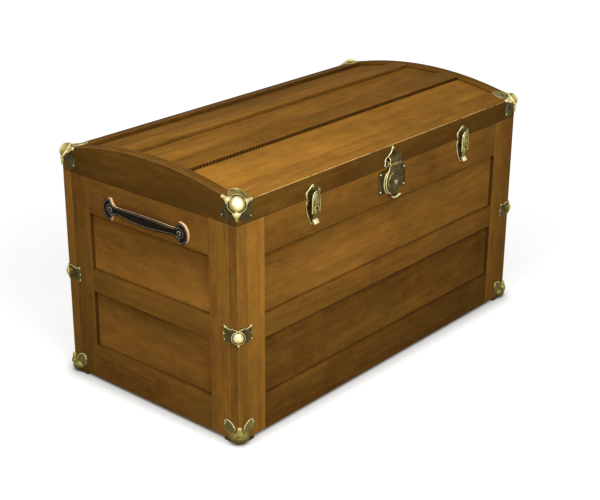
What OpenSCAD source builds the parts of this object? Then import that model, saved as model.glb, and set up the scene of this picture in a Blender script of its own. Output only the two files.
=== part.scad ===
// Round-top trunk: frame-and-panel case, arched lid, brass corner hardware and leather end handles.
// The front faces -Y, the lid opens about its back edge, and Z = 0 is the floor.

/* [Case] */
// Width of the case over its end frames
case_w = 812; // [640:1:1000]
// Depth of the case from front to back
case_d = 422; // [340:1:560]
// Height of the case from its lower edge to the lid
case_h = 390; // [310:1:500]
// Thickness of the frame stock
stock = 20; // [18:0.5:24]
// Width of the stiles seen on the front and on the ends
stile_w = 65; // [54:1:80]
// Height of the top and bottom rails
rail_h = 65; // [60:1:80]
// Height of the middle rails
mid_rail_h = 42; // [30:1:60]
// Thickness of the flat panels
panel_t = 5.6; // [4:0.2:7]
// Depth of the grooves that hold the panels and stub tenons
groove_d = 8; // [5:0.5:10]
// Thickness of the bottom board
bottom_t = 9; // [6:0.5:15]
// Side of the square cleats under the bottom board
cleat = 14; // [10:1:20]

/* [Lid] */
// Height of the lid's front and back, from the case to the arch
lid_side = 39.5; // [36:0.5:60]
// Rise of the arch above the lid's sides
arch_rise = 29.5; // [20:0.5:60]
// Width of the four lengthwise rails, measured along the arch
lid_rail_w = 42; // [34:1:50]
// Thickness of the lengthwise rails
lid_rail_t = 16; // [14:0.5:18]
// How far the lid panels lie below the rails
panel_drop = 7; // [4:0.5:8]
// How far the lid panels reach into their grooves
lid_groove_d = 6; // [4:0.5:8]

/* [Corner hardware] */
// Thickness of the pressed brass plates
brass_t = 1.5; // [1:0.1:2]
// How far the sole of each base cap hangs below the wood
sole_t = 5.5; // [1.5:0.5:6]
// Reach of the cap lobes along each edge
cap_leg = 35; // [28:1:36]
// Reach of the larger lobe on top of the lid
cap_top_leg = 42; // [34:1:46]
// Radius of the ball on each lid corner
ball_r = 12.5; // [9:0.5:14]
// How far each ball centre lies inside the three faces
ball_inset = 5.8; // [4:0.1:7]
// Reach of the edge clamps from the corner
clamp_leg = 34; // [28:1:40]
// Radius of the dome on each edge clamp
dome_r = 8.5; // [6:0.5:11]
// Height of the edge clamps above the lower edge of the case
clamp_z = 196; // [150:1:250]

/* [Draw bolts] */
// Distance of each draw bolt from the middle of the front
drawbolt_x = 221; // [120:1:280]
// Half the width of the draw bolt plates
drawbolt_half = 19.5; // [17:0.5:24]
// Half the width of the tongue
tongue_half = 11.5; // [11:0.5:14]
// Radius of the lever pin
lever_pin_r = 1.2; // [1:0.1:1.3]
// Width of the lever between the ears of its plate
lever_w = 9.6; // [8:0.2:10]
// Width of the lip that lifts the lever
lip_w = 13; // [10:0.5:16]
// Thickness of the plates of the draw bolts and the hasp
plate_t = 1.5; // [1:0.1:1.6]
// Swing of the lever from closed to open, in degrees
lever_swing = 75; // [30:1:75]

/* [Lock] */
// Half the width of the lock plate
lock_half = 39; // [34:1:50]
// Radius of the raised round front of the lock
drum_r = 28; // [22:0.5:30]
// Radius of the round part of the hasp
hasp_r = 25; // [20:0.5:27]
// Depth of the lock case in the rail
lock_depth = 11; // [10:0.5:13]
// Radius of the hasp pin
hasp_pin_r = 1.6; // [1.2:0.1:2]

/* [Hinges] */
// Distance of each hinge from the middle of the back
hinge_x = 250; // [150:1:320]
// Width of each hinge
hinge_w = 64; // [50:1:90]
// Height of each hinge leaf
leaf_h = 32; // [24:1:34]
// Outer radius of the hinge barrel
barrel_r = 4; // [3.5:0.5:6]
// Radius of the hinge pin
hinge_pin_r = 2; // [1.5:0.1:2.5]

/* [Handles] */
// Distance between the two screws of a handle
handle_span = 168; // [130:1:200]
// Height of the handles above the lower edge of the case
handle_z = 348; // [250:1:370]
// Height of the axe-shaped ends
handle_end_h = 43; // [34:1:50]
// Height of the grip at its middle
grip_h = 22; // [17:1:28]
// Thickness of the leather
leather_t = 4.5; // [3:0.5:6]
// Radius of the handle screws
screw_r = 2; // [1.5:0.25:2.5]
// Depth of the handle screws in the wood
screw_depth = 14; // [8:1:16]
// How far the grip bows away from the end
grip_bow = 9; // [6:0.5:16]

/* [Hidden] */

// Small overlap that lets one cut pass cleanly through a face
eps = 0.5;
// Running clearance round every pin that turns
pin_play = 0.05;
// Play of a panel or tenon in its groove, on each side
groove_play = 0.2;
// Room for a panel to swell at the bottom of its groove
swell_gap = 1.2;
// Gap between the closed lid and the case
lid_gap = 0.4;
// Gap between two cleats at a corner of the bottom
cleat_gap = 0.5;
// Width of the raised rims on the pressed plates, and how far they stand up
rim_w = 1.6;
rim_h = 0.9;

groove_t = panel_t + 2 * groove_play;
opening_h = (case_h - 2 * rail_h - mid_rail_h) / 2;
mid_rail_z = rail_h + opening_h;
end_w = case_d - 2 * stock;
end_stile_w = stile_w - stock;

base_z = sole_t;
seam_z = base_z + case_h;
lid_z = seam_z + lid_gap;
lid_edge_z = seam_z + lid_side;
crown_z = lid_edge_z + arch_rise;

// Pivots of the draw bolt and hasp: distance out from the front, height from the top of the case
lever_pivot = [4.6, -8];
tongue_pivot = [3.8, -20];
hasp_pivot = [6.5, 5.5];
lip_reach = 11.5;

// How much wider than high the side lobes of a lid cap are
side_stretch = 1.08;
// Height of the notch at the middle of a clamp's upper edge
clamp_notch = clamp_leg * 0.41;
// The collar round a clamp's dome, and how far its rim stands off the corner
clamp_collar_r = dome_r + 3;
clamp_rim_h = 1.5;

// What stands out furthest from the front and from the back of the wood
hinge_out = barrel_r + 0.4;
front_reach = lip_reach;
back_reach = max(hinge_out + barrel_r, (clamp_collar_r + clamp_rim_h) * sin(45));
case_y = (front_reach - back_reach) / 2;
front_y = case_y - case_d / 2;
back_y = case_y + case_d / 2;

// The arch is part of one circle through the lid's two upper edges
arch_r = (case_d * case_d / 4 + arch_rise * arch_rise) / (2 * arch_rise);
arch_z = crown_z - arch_r;
arch_half = asin(case_d / 2 / arch_r);
arch_len = 2 * arch_half * PI / 180 * arch_r;
lid_panel_w = (arch_len - 4 * lid_rail_w) / 3;
lid_inner_w = case_w - 2 * stock;

function degrees_of(len) = len / arch_r * 180 / PI;
// Place of a lid rail's front side along the arch, from the front edge
function rail_start(i) = i * (lid_rail_w + lid_panel_w);

// Plane that the upper lobes of the lid caps lie on: the arch's tangent under the lobe
lobe_y = cap_top_leg * 0.42;
lobe_tilt = asin((case_d / 2 - lobe_y) / arch_r);
lobe_top = arch_z + sqrt(pow(arch_r, 2) - pow(case_d / 2 - lobe_y, 2));
lobe_lift = lobe_top - lobe_y * tan(lobe_tilt) - lid_edge_z;

oak = [0.52, 0.33, 0.14];
maple = [0.62, 0.41, 0.18];
pine = [0.66, 0.5, 0.3];
brass = [0.66, 0.58, 0.35];
leather = [0.07, 0.06, 0.06];
steel = [0.55, 0.55, 0.52];

// Placing: in each of these X runs along the face, Y up and Z out of the wood

module on_front(x = 0, z = 0) {
    translate([x, front_y, z]) rotate([90, 0, 0]) children();
}

module on_back(x = 0, z = 0) {
    translate([x, back_y, z]) rotate([90, 0, 180]) children();
}

module on_end(side, z = 0) {
    translate([side * case_w / 2, case_y, z]) rotate([90, 0, side * 90]) children();
}

module flipped(yes, axis) {
    if (yes) mirror(axis) children();
    else children();
}

// Four vertical corners; the child is drawn for the left front corner, with wood at +X and +Y
module at_corners(z) {
    for (side = [0, 1], far = [0, 1])
        translate([(side * 2 - 1) * case_w / 2, far == 0 ? front_y : back_y, z])
            flipped(side == 1, [1, 0, 0]) flipped(far == 1, [0, 1, 0]) children();
}

// Solid along X whose outline is drawn with X as depth out of the front and Y as height
module profile_x(width) {
    rotate([0, -90, 0]) rotate([0, 0, -90]) translate([0, 0, -width / 2]) linear_extrude(width) children();
}

// Frame and panel walls

module wall_stiles(w, stile) {
    for (side = [-1, 1])
        difference() {
            translate([side * (w - stile) / 2 - stile / 2, 0, -stock]) cube([stile, case_h, stock]);
            translate([side * (w / 2 - stile + groove_d / 2 - eps / 2) - groove_d / 2 - eps / 2, -eps,
                (-stock - groove_t) / 2])
                cube([groove_d + eps, case_h + 2 * eps, groove_t]);
        }
}

module wall_rail(w, stile, z, h, low, high) {
    span = w - 2 * stile;
    tenon = groove_d - groove_play;
    difference() {
        union() {
            translate([-span / 2, z, -stock]) cube([span, h, stock]);
            translate([-span / 2 - tenon, z, (-stock - panel_t) / 2]) cube([span + 2 * tenon, h, panel_t]);
        }
        if (low)
            translate([-w / 2, z - eps, (-stock - groove_t) / 2]) cube([w, groove_d + eps, groove_t]);
        if (high)
            translate([-w / 2, z + h - groove_d, (-stock - groove_t) / 2])
                cube([w, groove_d + eps, groove_t]);
    }
}

module wall_rails(w, stile) {
    wall_rail(w, stile, 0, rail_h, false, true);
    wall_rail(w, stile, mid_rail_z, mid_rail_h, true, true);
    wall_rail(w, stile, case_h - rail_h, rail_h, true, false);
}

module wall_panels(w, stile) {
    reach = groove_d - swell_gap;
    for (z = [rail_h, mid_rail_z + mid_rail_h])
        translate([-w / 2 + stile - reach, z - reach, (-stock - panel_t) / 2])
            cube([w - 2 * stile + 2 * reach, opening_h + 2 * reach, panel_t]);
}

module front_stiles() { color(oak) on_front(0, base_z) wall_stiles(case_w, stile_w); }
module front_panels() { color(maple) on_front(0, base_z) wall_panels(case_w, stile_w); }
module back_stiles() { color(oak) on_back(0, base_z) wall_stiles(case_w, stile_w); }
module back_rails() { color(oak) on_back(0, base_z) wall_rails(case_w, stile_w); }
module back_panels() { color(maple) on_back(0, base_z) wall_panels(case_w, stile_w); }
module left_stiles() { color(oak) on_end(-1, base_z) wall_stiles(end_w, end_stile_w); }
module end_rails(side) {
    color(oak)
        on_end(side, base_z)
            difference() {
                wall_rails(end_w, end_stile_w);
                handle_screw_holes();
            }
}

module left_rails() { end_rails(-1); }
module left_panels() { color(maple) on_end(-1, base_z) wall_panels(end_w, end_stile_w); }
module right_stiles() { color(oak) on_end(1, base_z) wall_stiles(end_w, end_stile_w); }
module right_rails() { end_rails(1); }
module right_panels() { color(maple) on_end(1, base_z) wall_panels(end_w, end_stile_w); }

// The front rails have the pocket of the lock, open at the top for the staple
module front_rails() {
    color(oak)
        difference() {
            on_front(0, base_z) wall_rails(case_w, stile_w);
            on_front(0, seam_z) translate([0, 0, -lock_depth]) {
                translate([-lock_case_half, lock_case_low, 0])
                    cube([2 * lock_case_half, lock_case_high - lock_case_low, lock_depth + eps]);
                translate([-staple_slot / 2, lock_case_low, 0])
                    cube([staple_slot, -lock_case_low + eps, lock_depth + eps]);
            }
        }
}

module bottom_cleats() {
    color(pine)
        translate([0, case_y, base_z]) {
            for (side = [-1, 1]) {
                translate([-lid_inner_w / 2, side * (end_w - cleat) / 2 - cleat / 2, 0])
                    cube([lid_inner_w, cleat, cleat]);
                translate([side * (lid_inner_w - cleat) / 2 - cleat / 2, -end_w / 2 + cleat + cleat_gap, 0])
                    cube([cleat, end_w - 2 * cleat - 2 * cleat_gap, cleat]);
            }
        }
}

module bottom_board() {
    color(pine)
        translate([-lid_inner_w / 2 + groove_play, case_y - end_w / 2 + groove_play, base_z + cleat])
            cube([lid_inner_w - 2 * groove_play, end_w - 2 * groove_play, bottom_t]);
}

// Lid

// Solid under the arch between two depths, for boards that stand under it
module under_arch(x, length, y, depth) {
    intersection() {
        translate([x, case_y, arch_z]) rotate([0, 90, 0]) cylinder(r = arch_r, h = length, $fn = 180);
        translate([x, y, lid_z]) cube([length, depth, crown_z - lid_z + 1]);
    }
}

// Piece of a tube round the arch's axis, between two places along the arch
module arch_piece(from, to, outer, thick, length) {
    translate([-length / 2, case_y, arch_z]) rotate([90, 0, 90])
        rotate([0, 0, 90 + arch_half - degrees_of(to)])
            rotate_extrude(angle = degrees_of(to - from), $fn = 180)
                translate([arch_r - outer - thick, 0]) square([thick, length]);
}

module arch_groove(from, to, length) {
    arch_piece(from, to, panel_drop - groove_play, groove_t, length);
}

module lid_end(side) {
    difference() {
        under_arch(side > 0 ? case_w / 2 - stock : -case_w / 2, stock, front_y + stock, end_w);
        for (i = [0 : 2])
            arch_groove(rail_start(i) + lid_rail_w - lid_groove_d, rail_start(i + 1) + lid_groove_d,
                lid_inner_w + 2 * lid_groove_d);
    }
}

module lid_rail(i) {
    from = rail_start(i);
    difference() {
        arch_piece(from, from + lid_rail_w, 0, lid_rail_t, lid_inner_w);
        if (i > 0) arch_groove(from - eps, from + lid_groove_d, lid_inner_w + 2);
        if (i < 3) arch_groove(from + lid_rail_w - lid_groove_d, from + lid_rail_w + eps, lid_inner_w + 2);
        if (i == 0) translate([-case_w / 2, front_y - stock, lid_z]) cube([case_w, 2 * stock, crown_z]);
        if (i == 3) translate([-case_w / 2, back_y - stock, lid_z]) cube([case_w, 2 * stock, crown_z]);
    }
}

module lid_panel(i) {
    reach = lid_groove_d - swell_gap;
    arch_piece(rail_start(i) + lid_rail_w - reach, rail_start(i + 1) + reach, panel_drop, panel_t,
        lid_inner_w + 2 * reach);
}

module lid_front_board() { color(oak) under_arch(-case_w / 2, case_w, front_y, stock); }
module lid_back_board() { color(oak) under_arch(-case_w / 2, case_w, back_y - stock, stock); }
module lid_left_end() { color(oak) lid_end(-1); }
module lid_right_end() { color(oak) lid_end(1); }
module lid_front_rail() { color(oak) lid_rail(0); }
module lid_second_rail() { color(oak) lid_rail(1); }
module lid_third_rail() { color(oak) lid_rail(2); }
module lid_back_rail() { color(oak) lid_rail(3); }
module lid_front_panel() { color(maple) lid_panel(0); }
module lid_middle_panel() { color(maple) lid_panel(1); }
module lid_back_panel() { color(maple) lid_panel(2); }

// Brass corners

// Outline of one cap lobe: X and Y run along the two edges of its face
module lobe_outline(leg) {
    translate([leg * 0.74, leg * 0.74]) circle(r = leg * 0.26, $fn = 48);
    polygon([[0, 0], [leg * 0.62, leg * 0.2], [leg * 0.95, leg * 0.58], [leg * 0.58, leg * 0.95],
        [leg * 0.2, leg * 0.62]]);
}

// Pressed lobe with a curved ridge across it
module lobe(leg) {
    ridge_r = leg * 0.9;
    linear_extrude(brass_t) lobe_outline(leg);
    linear_extrude(brass_t + rim_h)
        intersection() {
            lobe_outline(leg - rim_w);
            difference() {
                circle(r = ridge_r, $fn = 96);
                circle(r = ridge_r - rim_w, $fn = 96);
            }
        }
}

// Tapered half-round arm along an edge, from under the ring to a small rounded tip
module cap_arm(reach) {
    root = ball_r + 2;
    tip = 4;
    rotate([0, 0, 25]) {
        translate([0, 0, root]) cylinder(r1 = 4.8, r2 = 2.6, h = reach - tip - root, $fn = 32);
        translate([0, 0, reach - tip]) cylinder(r1 = 2.6, r2 = 3.3, h = tip / 2, $fn = 32);
        translate([0, 0, reach - tip / 2]) cylinder(r1 = 3.3, r2 = 1.8, h = tip / 2, $fn = 32);
    }
}

// Wood that a lid cap sits on: the corner below the lobe plane
module lid_corner_wood() {
    reach = 3 * cap_leg;
    translate([0, 0, lobe_lift]) rotate([90, 0, 90]) linear_extrude(reach)
        polygon([[0, -reach], [reach, -reach], [reach, reach * tan(lobe_tilt)], [0, 0]]);
}

module lid_corner_cap() {
    difference() {
        union() {
            rotate([90, 0, 0]) mirror([0, 1, 0]) scale([side_stretch, 1, 1]) lobe(cap_leg);
            rotate([90, 0, -90]) mirror([1, 0, 0]) mirror([0, 1, 0]) scale([side_stretch, 1, 1])
                lobe(cap_leg);
            translate([0, 0, lobe_lift]) rotate([lobe_tilt, 0, 0]) lobe(cap_top_leg);
            translate([0, 0, lobe_lift]) rotate([0, 90, 0]) cap_arm(cap_leg);
            translate([0, 0, lobe_lift]) rotate([lobe_tilt - 90, 0, 0]) cap_arm(cap_leg);
            rotate([0, 180, 0]) cap_arm(lid_side - 5);
            translate([ball_inset, ball_inset, -ball_inset]) {
                rotate([15, 40, 0]) sphere(r = ball_r, $fn = 64);
                rotate([0, 0, 45]) rotate([0, -54.74, 0]) rotate([0, 0, 40]) rotate_extrude($fn = 64)
                    polygon([[0, -6], [ball_r - 2, -6], [ball_r + 1.2, 0], [ball_r + 2.4, 3],
                        [ball_r - 1, 3.6], [0, 3.6]]);
            }
        }
        lid_corner_wood();
    }
}

module lid_corner_caps() {
    color(brass) at_corners(lid_edge_z) lid_corner_cap();
}

// Leaf-shaped outline of a base cap's wing on one face, with its tip at the upper outer end
module base_wing_outline() {
    leg = cap_leg;
    polygon([[0, 0], [leg * 0.54, 0], [leg * 0.6, leg * 0.11], [leg * 0.66, leg * 0.25],
        [leg * 0.8, leg * 0.31], [leg * 0.96, leg * 0.4], [leg * 1.01, leg * 0.57], [leg * 1.02, leg * 0.77],
        [leg * 0.98, leg * 0.9], [leg * 0.93, leg * 0.98], [leg * 0.83, leg * 1.02], [leg * 0.71, leg * 1.02],
        [leg * 0.55, leg * 0.96], [leg * 0.38, leg * 0.82], [leg * 0.28, leg * 0.69],
        [leg * 0.24, leg * 0.52], [leg * 0.2, leg * 0.46], [0, leg * 0.42]]);
}

// Pressed wing with a raised rim along its inner and upper edge
module base_wing() {
    linear_extrude(brass_t) base_wing_outline();
    linear_extrude(brass_t + rim_h)
        intersection() {
            difference() {
                base_wing_outline();
                translate([rim_w * 0.7, -rim_w]) base_wing_outline();
            }
            translate([cap_leg * 0.245, cap_leg * 0.6]) square(cap_leg);
        }
}

module base_corner_cap() {
    rib = cap_leg * 0.75;
    fold_z = cap_leg * 0.3;
    difference() {
        union() {
            rotate([90, 0, 0]) base_wing();
            rotate([90, 0, -90]) mirror([1, 0, 0]) base_wing();
            translate([-brass_t, -brass_t, -sole_t]) linear_extrude(sole_t) difference() {
                square(cap_leg);
                translate([cap_leg, cap_leg]) circle(r = cap_leg * 0.8, $fn = 64);
            }
            translate([ball_inset, ball_inset, ball_inset]) rotate([15, 40, 0])
                sphere(r = ball_r, $fn = 64);
            rotate([0, 0, 25]) cylinder(r1 = 4.8, r2 = 3, h = rib, $fn = 32);
            translate([0, 0, fold_z]) rotate([0, 90, 0]) rotate([0, 0, 25])
                cylinder(r1 = 3.6, r2 = 1.8, h = cap_leg * 0.5, $fn = 32);
            translate([0, 0, fold_z]) rotate([-90, 0, 0]) rotate([0, 0, 25])
                cylinder(r1 = 3.6, r2 = 1.8, h = cap_leg * 0.5, $fn = 32);
        }
        cube(3 * cap_leg);
        translate([-cap_leg, -cap_leg, -cap_leg - sole_t]) cube([3 * cap_leg, 3 * cap_leg, cap_leg]);
    }
}

module base_corner_caps() {
    color(brass) at_corners(base_z) base_corner_cap();
}

// Bat-wing outline of an edge clamp on one face, from the corner outwards
module clamp_wing_outline() {
    leg = clamp_leg;
    polygon([[0, clamp_notch], [leg * 0.35, clamp_notch], [leg * 0.41, leg * 0.37], [leg * 0.53, leg * 0.35],
        [leg * 0.7, leg * 0.37], [leg * 0.82, leg * 0.42], [leg * 0.93, leg * 0.49], [leg * 0.98, leg * 0.32],
        [leg * 1.01, leg * 0.12], [leg * 1.01, -leg * 0.09], [leg * 0.98, -leg * 0.26],
        [leg * 0.88, -leg * 0.39], [leg * 0.7, -leg * 0.43], [0, -leg * 0.46]]);
}

// Pressed wing with a raised rim along its upper edge
module clamp_wing() {
    linear_extrude(brass_t) clamp_wing_outline();
    linear_extrude(brass_t + rim_h)
        intersection() {
            difference() {
                clamp_wing_outline();
                translate([0, -rim_w]) clamp_wing_outline();
            }
            square([clamp_leg * 0.94, clamp_leg]);
        }
}

module edge_clamp() {
    inset = dome_r * 0.21;
    difference() {
        union() {
            rotate([90, 0, 0]) clamp_wing();
            rotate([90, 0, -90]) mirror([1, 0, 0]) clamp_wing();
            translate([-brass_t, -brass_t, -clamp_leg * 0.46])
                cube([brass_t + 1, brass_t + 1, clamp_leg * 0.9]);
            translate([inset, inset, 0]) rotate([15, 40, 0]) sphere(r = dome_r, $fn = 64);
            rotate([0, 0, 45]) rotate([0, -90, 0]) rotate([0, 0, 40]) translate([0, 0, -clamp_collar_r])
                cylinder(r1 = clamp_collar_r - 1, r2 = clamp_collar_r, h = clamp_collar_r + clamp_rim_h,
                    $fn = 64);
        }
        translate([0, 0, -clamp_leg]) cube([2 * clamp_leg, 2 * clamp_leg, 2 * clamp_leg]);
    }
}

module edge_clamps() {
    color(brass) at_corners(base_z + clamp_z) edge_clamp();
}

// Draw bolts, drawn round the middle of the bolt with Y = 0 at the top of the case

module drawbolt_plate_outline() {
    half = drawbolt_half;
    polygon([[-half, -2], [half, -2], [half, -10], [half * 0.84, -24], [half * 0.64, -35], [6, -44],
        [-6, -44], [-half * 0.64, -35], [-half * 0.84, -24], [-half, -10]]);
    translate([0, -42]) circle(r = 7, $fn = 48);
}

// Ears that carry the lever pin
ear_t = 1.5;
ear_r = 2.4;
ear_x = 5.65;

module drawbolt_plate() {
    linear_extrude(plate_t) drawbolt_plate_outline();
    for (side = [-1, 1])
        translate([side * (ear_x + ear_t / 2) - ear_t / 2, 0, 0])
            difference() {
                union() {
                    translate([0, lever_pivot[1] - ear_r, plate_t - 0.1])
                        cube([ear_t, 2 * ear_r, lever_pivot[0] - plate_t + 0.1]);
                    translate([0, lever_pivot[1], lever_pivot[0]]) rotate([0, 90, 0])
                        cylinder(r = ear_r, h = ear_t, $fn = 32);
                }
                translate([-1, lever_pivot[1], lever_pivot[0]]) rotate([0, 90, 0])
                    cylinder(r = lever_pin_r, h = ear_t + 2, $fn = 32);
            }
}

module drawbolt_catch_outline() {
    half = drawbolt_half;
    polygon([[-half * 0.86, 1.5], [half * 0.86, 1.5], [half, 12.5], [4, 22.4], [-4, 22.4], [-half, 12.5]]);
    translate([0, 19.6]) circle(r = 4.4, $fn = 48);
}

// Catch plate with the low ridge that the tongue closes over
module drawbolt_catch() {
    linear_extrude(plate_t) drawbolt_catch_outline();
    translate([-7, 5, plate_t - 0.1]) cube([14, 3, 1]);
}

module lever_pin() {
    half = ear_x + ear_t;
    translate([-half, lever_pivot[1], lever_pivot[0]]) rotate([0, 90, 0])
        cylinder(r = lever_pin_r, h = 2 * half, $fn = 32);
}

module tongue_pin() {
    half = tongue_half - 0.4;
    translate([-half, tongue_pivot[1], tongue_pivot[0]]) rotate([0, 90, 0])
        cylinder(r = lever_pin_r, h = 2 * half, $fn = 32);
}

// Lever, drawn as a side view: X is the distance out of the wood, Y the height
module drawbolt_lever() {
    difference() {
        union() {
            side_view(lever_w) {
                polygon([[2.3, -8], [6.9, -8], [6.4, -12], [5.8, -16], [5.8, -28], [5.2, -35], [3.4, -37],
                    [1.9, -36], [1.8, -18]]);
                translate([lever_pivot[0], lever_pivot[1]]) circle(r = 2.3, $fn = 32);
            }
            side_view(lip_w) polygon([[2, -35], [4.8, -33], [10.8, -44.4], [9.6, -46.4]]);
            intersection() {
                translate([0, -23.8, 5.2]) rotate([10, 15, 0]) sphere(r = 4.2, $fn = 32);
                translate([-5, -30, 3]) cube([10, 12, 8]);
            }
        }
        translate([-10, lever_pivot[1], lever_pivot[0]]) rotate([0, 90, 0])
            cylinder(r = lever_pin_r + pin_play, h = 20, $fn = 32);
        translate([-10, tongue_pivot[1], tongue_pivot[0]]) rotate([0, 90, 0])
            cylinder(r = lever_pin_r, h = 20, $fn = 32);
    }
}

// Solid whose outline gives the distance out of the face and the height, centred on X
module side_view(width) {
    translate([width / 2, 0, 0]) rotate([0, -90, 0]) linear_extrude(width) children();
}

// Tongue: a round-topped channel with a slot for the lever
module drawbolt_tongue() {
    half = tongue_half;
    narrow = half - 1.4;
    wall = 1.4;
    top = 12.8 - narrow;
    low = -25.4;
    front = lever_pivot[0] + 2.5;
    slot = lever_w + 1.6;
    slot_y = -21;
    difference() {
        union() {
            translate([0, 0, front]) linear_extrude(wall) {
                polygon([[-half, low], [half, low], [narrow, top], [-narrow, top]]);
                translate([0, top]) circle(r = narrow, $fn = 64);
            }
            for (side = [0, 1])
                mirror([side, 0, 0]) translate([0, 0, 2]) linear_extrude(front - 1.9)
                    polygon([[half - wall, low], [half, low], [narrow, top], [narrow - wall, top]]);
            translate([0, 0, front + wall - 0.1]) linear_extrude(0.9) {
                translate([-half * 0.52, -11]) square([half * 1.04, top + 11]);
                translate([0, top]) circle(r = half * 0.52, $fn = 48);
            }
        }
        translate([-slot / 2, low - 1, front - 1]) cube([slot, slot_y - low + 1.001, 4]);
        translate([0, slot_y, front - 1]) cylinder(r = slot / 2, h = 4, $fn = 48);
        translate([-2 * half, tongue_pivot[1], tongue_pivot[0]]) rotate([0, 90, 0])
            cylinder(r = lever_pin_r + pin_play, h = 4 * half, $fn = 32);
    }
}

module left_drawbolt_plate() { color(brass) on_front(-drawbolt_x, seam_z) drawbolt_plate(); }
module right_drawbolt_plate() { color(brass) on_front(drawbolt_x, seam_z) drawbolt_plate(); }
module left_drawbolt_catch() { color(brass) on_front(-drawbolt_x, seam_z) drawbolt_catch(); }
module right_drawbolt_catch() { color(brass) on_front(drawbolt_x, seam_z) drawbolt_catch(); }
module left_lever_pin() { color(steel) on_front(-drawbolt_x, seam_z) lever_pin(); }
module right_lever_pin() { color(steel) on_front(drawbolt_x, seam_z) lever_pin(); }
module left_tongue_pin() { color(steel) on_front(-drawbolt_x, seam_z) tongue_pin(); }
module right_tongue_pin() { color(steel) on_front(drawbolt_x, seam_z) tongue_pin(); }
module left_drawbolt_lever() { color(brass) on_front(-drawbolt_x, seam_z) drawbolt_lever(); }
module right_drawbolt_lever() { color(brass) on_front(drawbolt_x, seam_z) drawbolt_lever(); }
module left_drawbolt_tongue() { color(brass) on_front(-drawbolt_x, seam_z) drawbolt_tongue(); }
module right_drawbolt_tongue() { color(brass) on_front(drawbolt_x, seam_z) drawbolt_tongue(); }

// Lock, drawn with Y = 0 at the top of the case

drum_y = -28.5;
drum_h = 3.4;
plate_low = -47.5;
plate_high = -4;
lock_case_half = 20;
lock_case_low = -46;
lock_case_high = -7;
staple_slot = 6;
staple_low = -19;
staple_high = -9;
bolt_y = -14;

module staple_cut() {
    translate([-staple_slot / 2, staple_low - 6, -lock_depth])
        cube([staple_slot, plate_high - staple_low + 6 + 3, lock_depth + 8]);
}

module keyhole_cut() {
    circle(r = 1.5, $fn = 32);
    translate([-0.6, -4.2]) square([1.2, 4.2]);
}

module lock_plate() {
    corner = 4;
    plate = 1.5;
    color(brass)
        on_front(0, seam_z)
            difference() {
                union() {
                    linear_extrude(plate) {
                        translate([-lock_half, plate_low + corner])
                            square([2 * lock_half, plate_high - plate_low - 2 * corner]);
                        translate([-lock_half + corner, plate_low])
                            square([2 * (lock_half - corner), plate_high - plate_low]);
                        for (side = [-1, 1], y = [plate_low + corner, plate_high - corner])
                            translate([side * (lock_half - corner), y]) circle(r = corner, $fn = 32);
                    }
                    intersection() {
                        translate([0, drum_y, 0]) {
                            cylinder(r = drum_r, h = drum_h - 1, $fn = 96);
                            cylinder(r = drum_r - 2, h = drum_h, $fn = 96);
                        }
                        translate([-lock_half, -80, 0]) cube([2 * lock_half, 80 + plate_high, drum_h + 1]);
                    }
                }
                staple_cut();
                translate([0, drum_y, -1]) linear_extrude(drum_h + 2) keyhole_cut();
            }
}

module lock_case() {
    wall = 1.2;
    play = groove_play;
    color(steel)
        on_front(0, seam_z)
            difference() {
                translate([-lock_case_half + play, lock_case_low + play, -lock_depth + play])
                    cube([2 * (lock_case_half - play), lock_case_high - lock_case_low - 2 * play,
                        lock_depth - play]);
                translate([-lock_case_half + play + wall, lock_case_low + play + wall,
                    -lock_depth + play + wall])
                    cube([2 * (lock_case_half - play - wall),
                        lock_case_high - lock_case_low - 2 * (play + wall), lock_depth]);
                translate([-staple_slot / 2, lock_case_high - 5, -lock_depth + play + wall])
                    cube([staple_slot, 10, lock_depth]);
            }
}

// The bolt rests drawn back and slides through the staple to lock the hasp
module lock_bolt() {
    color(steel)
        on_front(0, seam_z) {
            translate([staple_slot / 2 + 0.4, bolt_y - 1.6, -6.2]) cube([15, 3.2, 3.2]);
            translate([staple_slot / 2 + 5, bolt_y - 1.6 - 9, -6.2]) cube([4, 10, 3.2]);
        }
}

housing_w = 32;
housing_h = 6.6;
hasp_ear_t = 1.6;
// Half the width of the hasp's barrel, between the ears
hasp_neck = housing_w / 2 - 1.1;

// Hasp plate on the lid: ogee outline, boxed hinge housing and two ears
module hasp_plate() {
    color(brass)
        on_front(0, seam_z)
            difference() {
                union() {
                    linear_extrude(plate_t) hasp_plate_outline();
                    translate([-housing_w / 2, 10.5, plate_t - 0.1]) cube([housing_w, 8, housing_h]);
                    translate([-housing_w / 2, 18.4, plate_t - 0.1]) rotate([90, 0, 90])
                        linear_extrude(housing_w) polygon([[0, 0], [4, 0], [0, housing_h]]);
                    for (side = [-1, 1])
                        translate([side * (housing_w / 2 + 0.2) - hasp_ear_t / 2, 0, 0]) {
                            translate([0, 2.5, plate_t - 0.1])
                                cube([hasp_ear_t, 10, hasp_pivot[0] - plate_t + 0.1]);
                            translate([0, hasp_pivot[1], hasp_pivot[0]]) rotate([0, 90, 0])
                                cylinder(r = 3, h = hasp_ear_t, $fn = 32);
                            translate([0, hasp_pivot[1], hasp_pivot[0] - 1]) cube([hasp_ear_t, 6, 3]);
                        }
                }
                translate([-30, hasp_pivot[1], hasp_pivot[0]]) rotate([0, 90, 0])
                    cylinder(r = hasp_pin_r, h = 60, $fn = 32);
            }
}

module hasp_plate_outline() {
    difference() {
        polygon([[-19, 1.5], [19, 1.5], [23.8, 5], [25, 10], [25, 18], [4, 33], [-4, 33], [-25, 18],
            [-25, 10], [-23.8, 5]]);
        for (side = [-1, 1])
            translate([side * 21, 33.5]) circle(r = 16, $fn = 64);
    }
    translate([0, lid_side - 6]) circle(r = 4.4, $fn = 32);
    translate([-3, 22]) square([6, lid_side - 28]);
}

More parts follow.
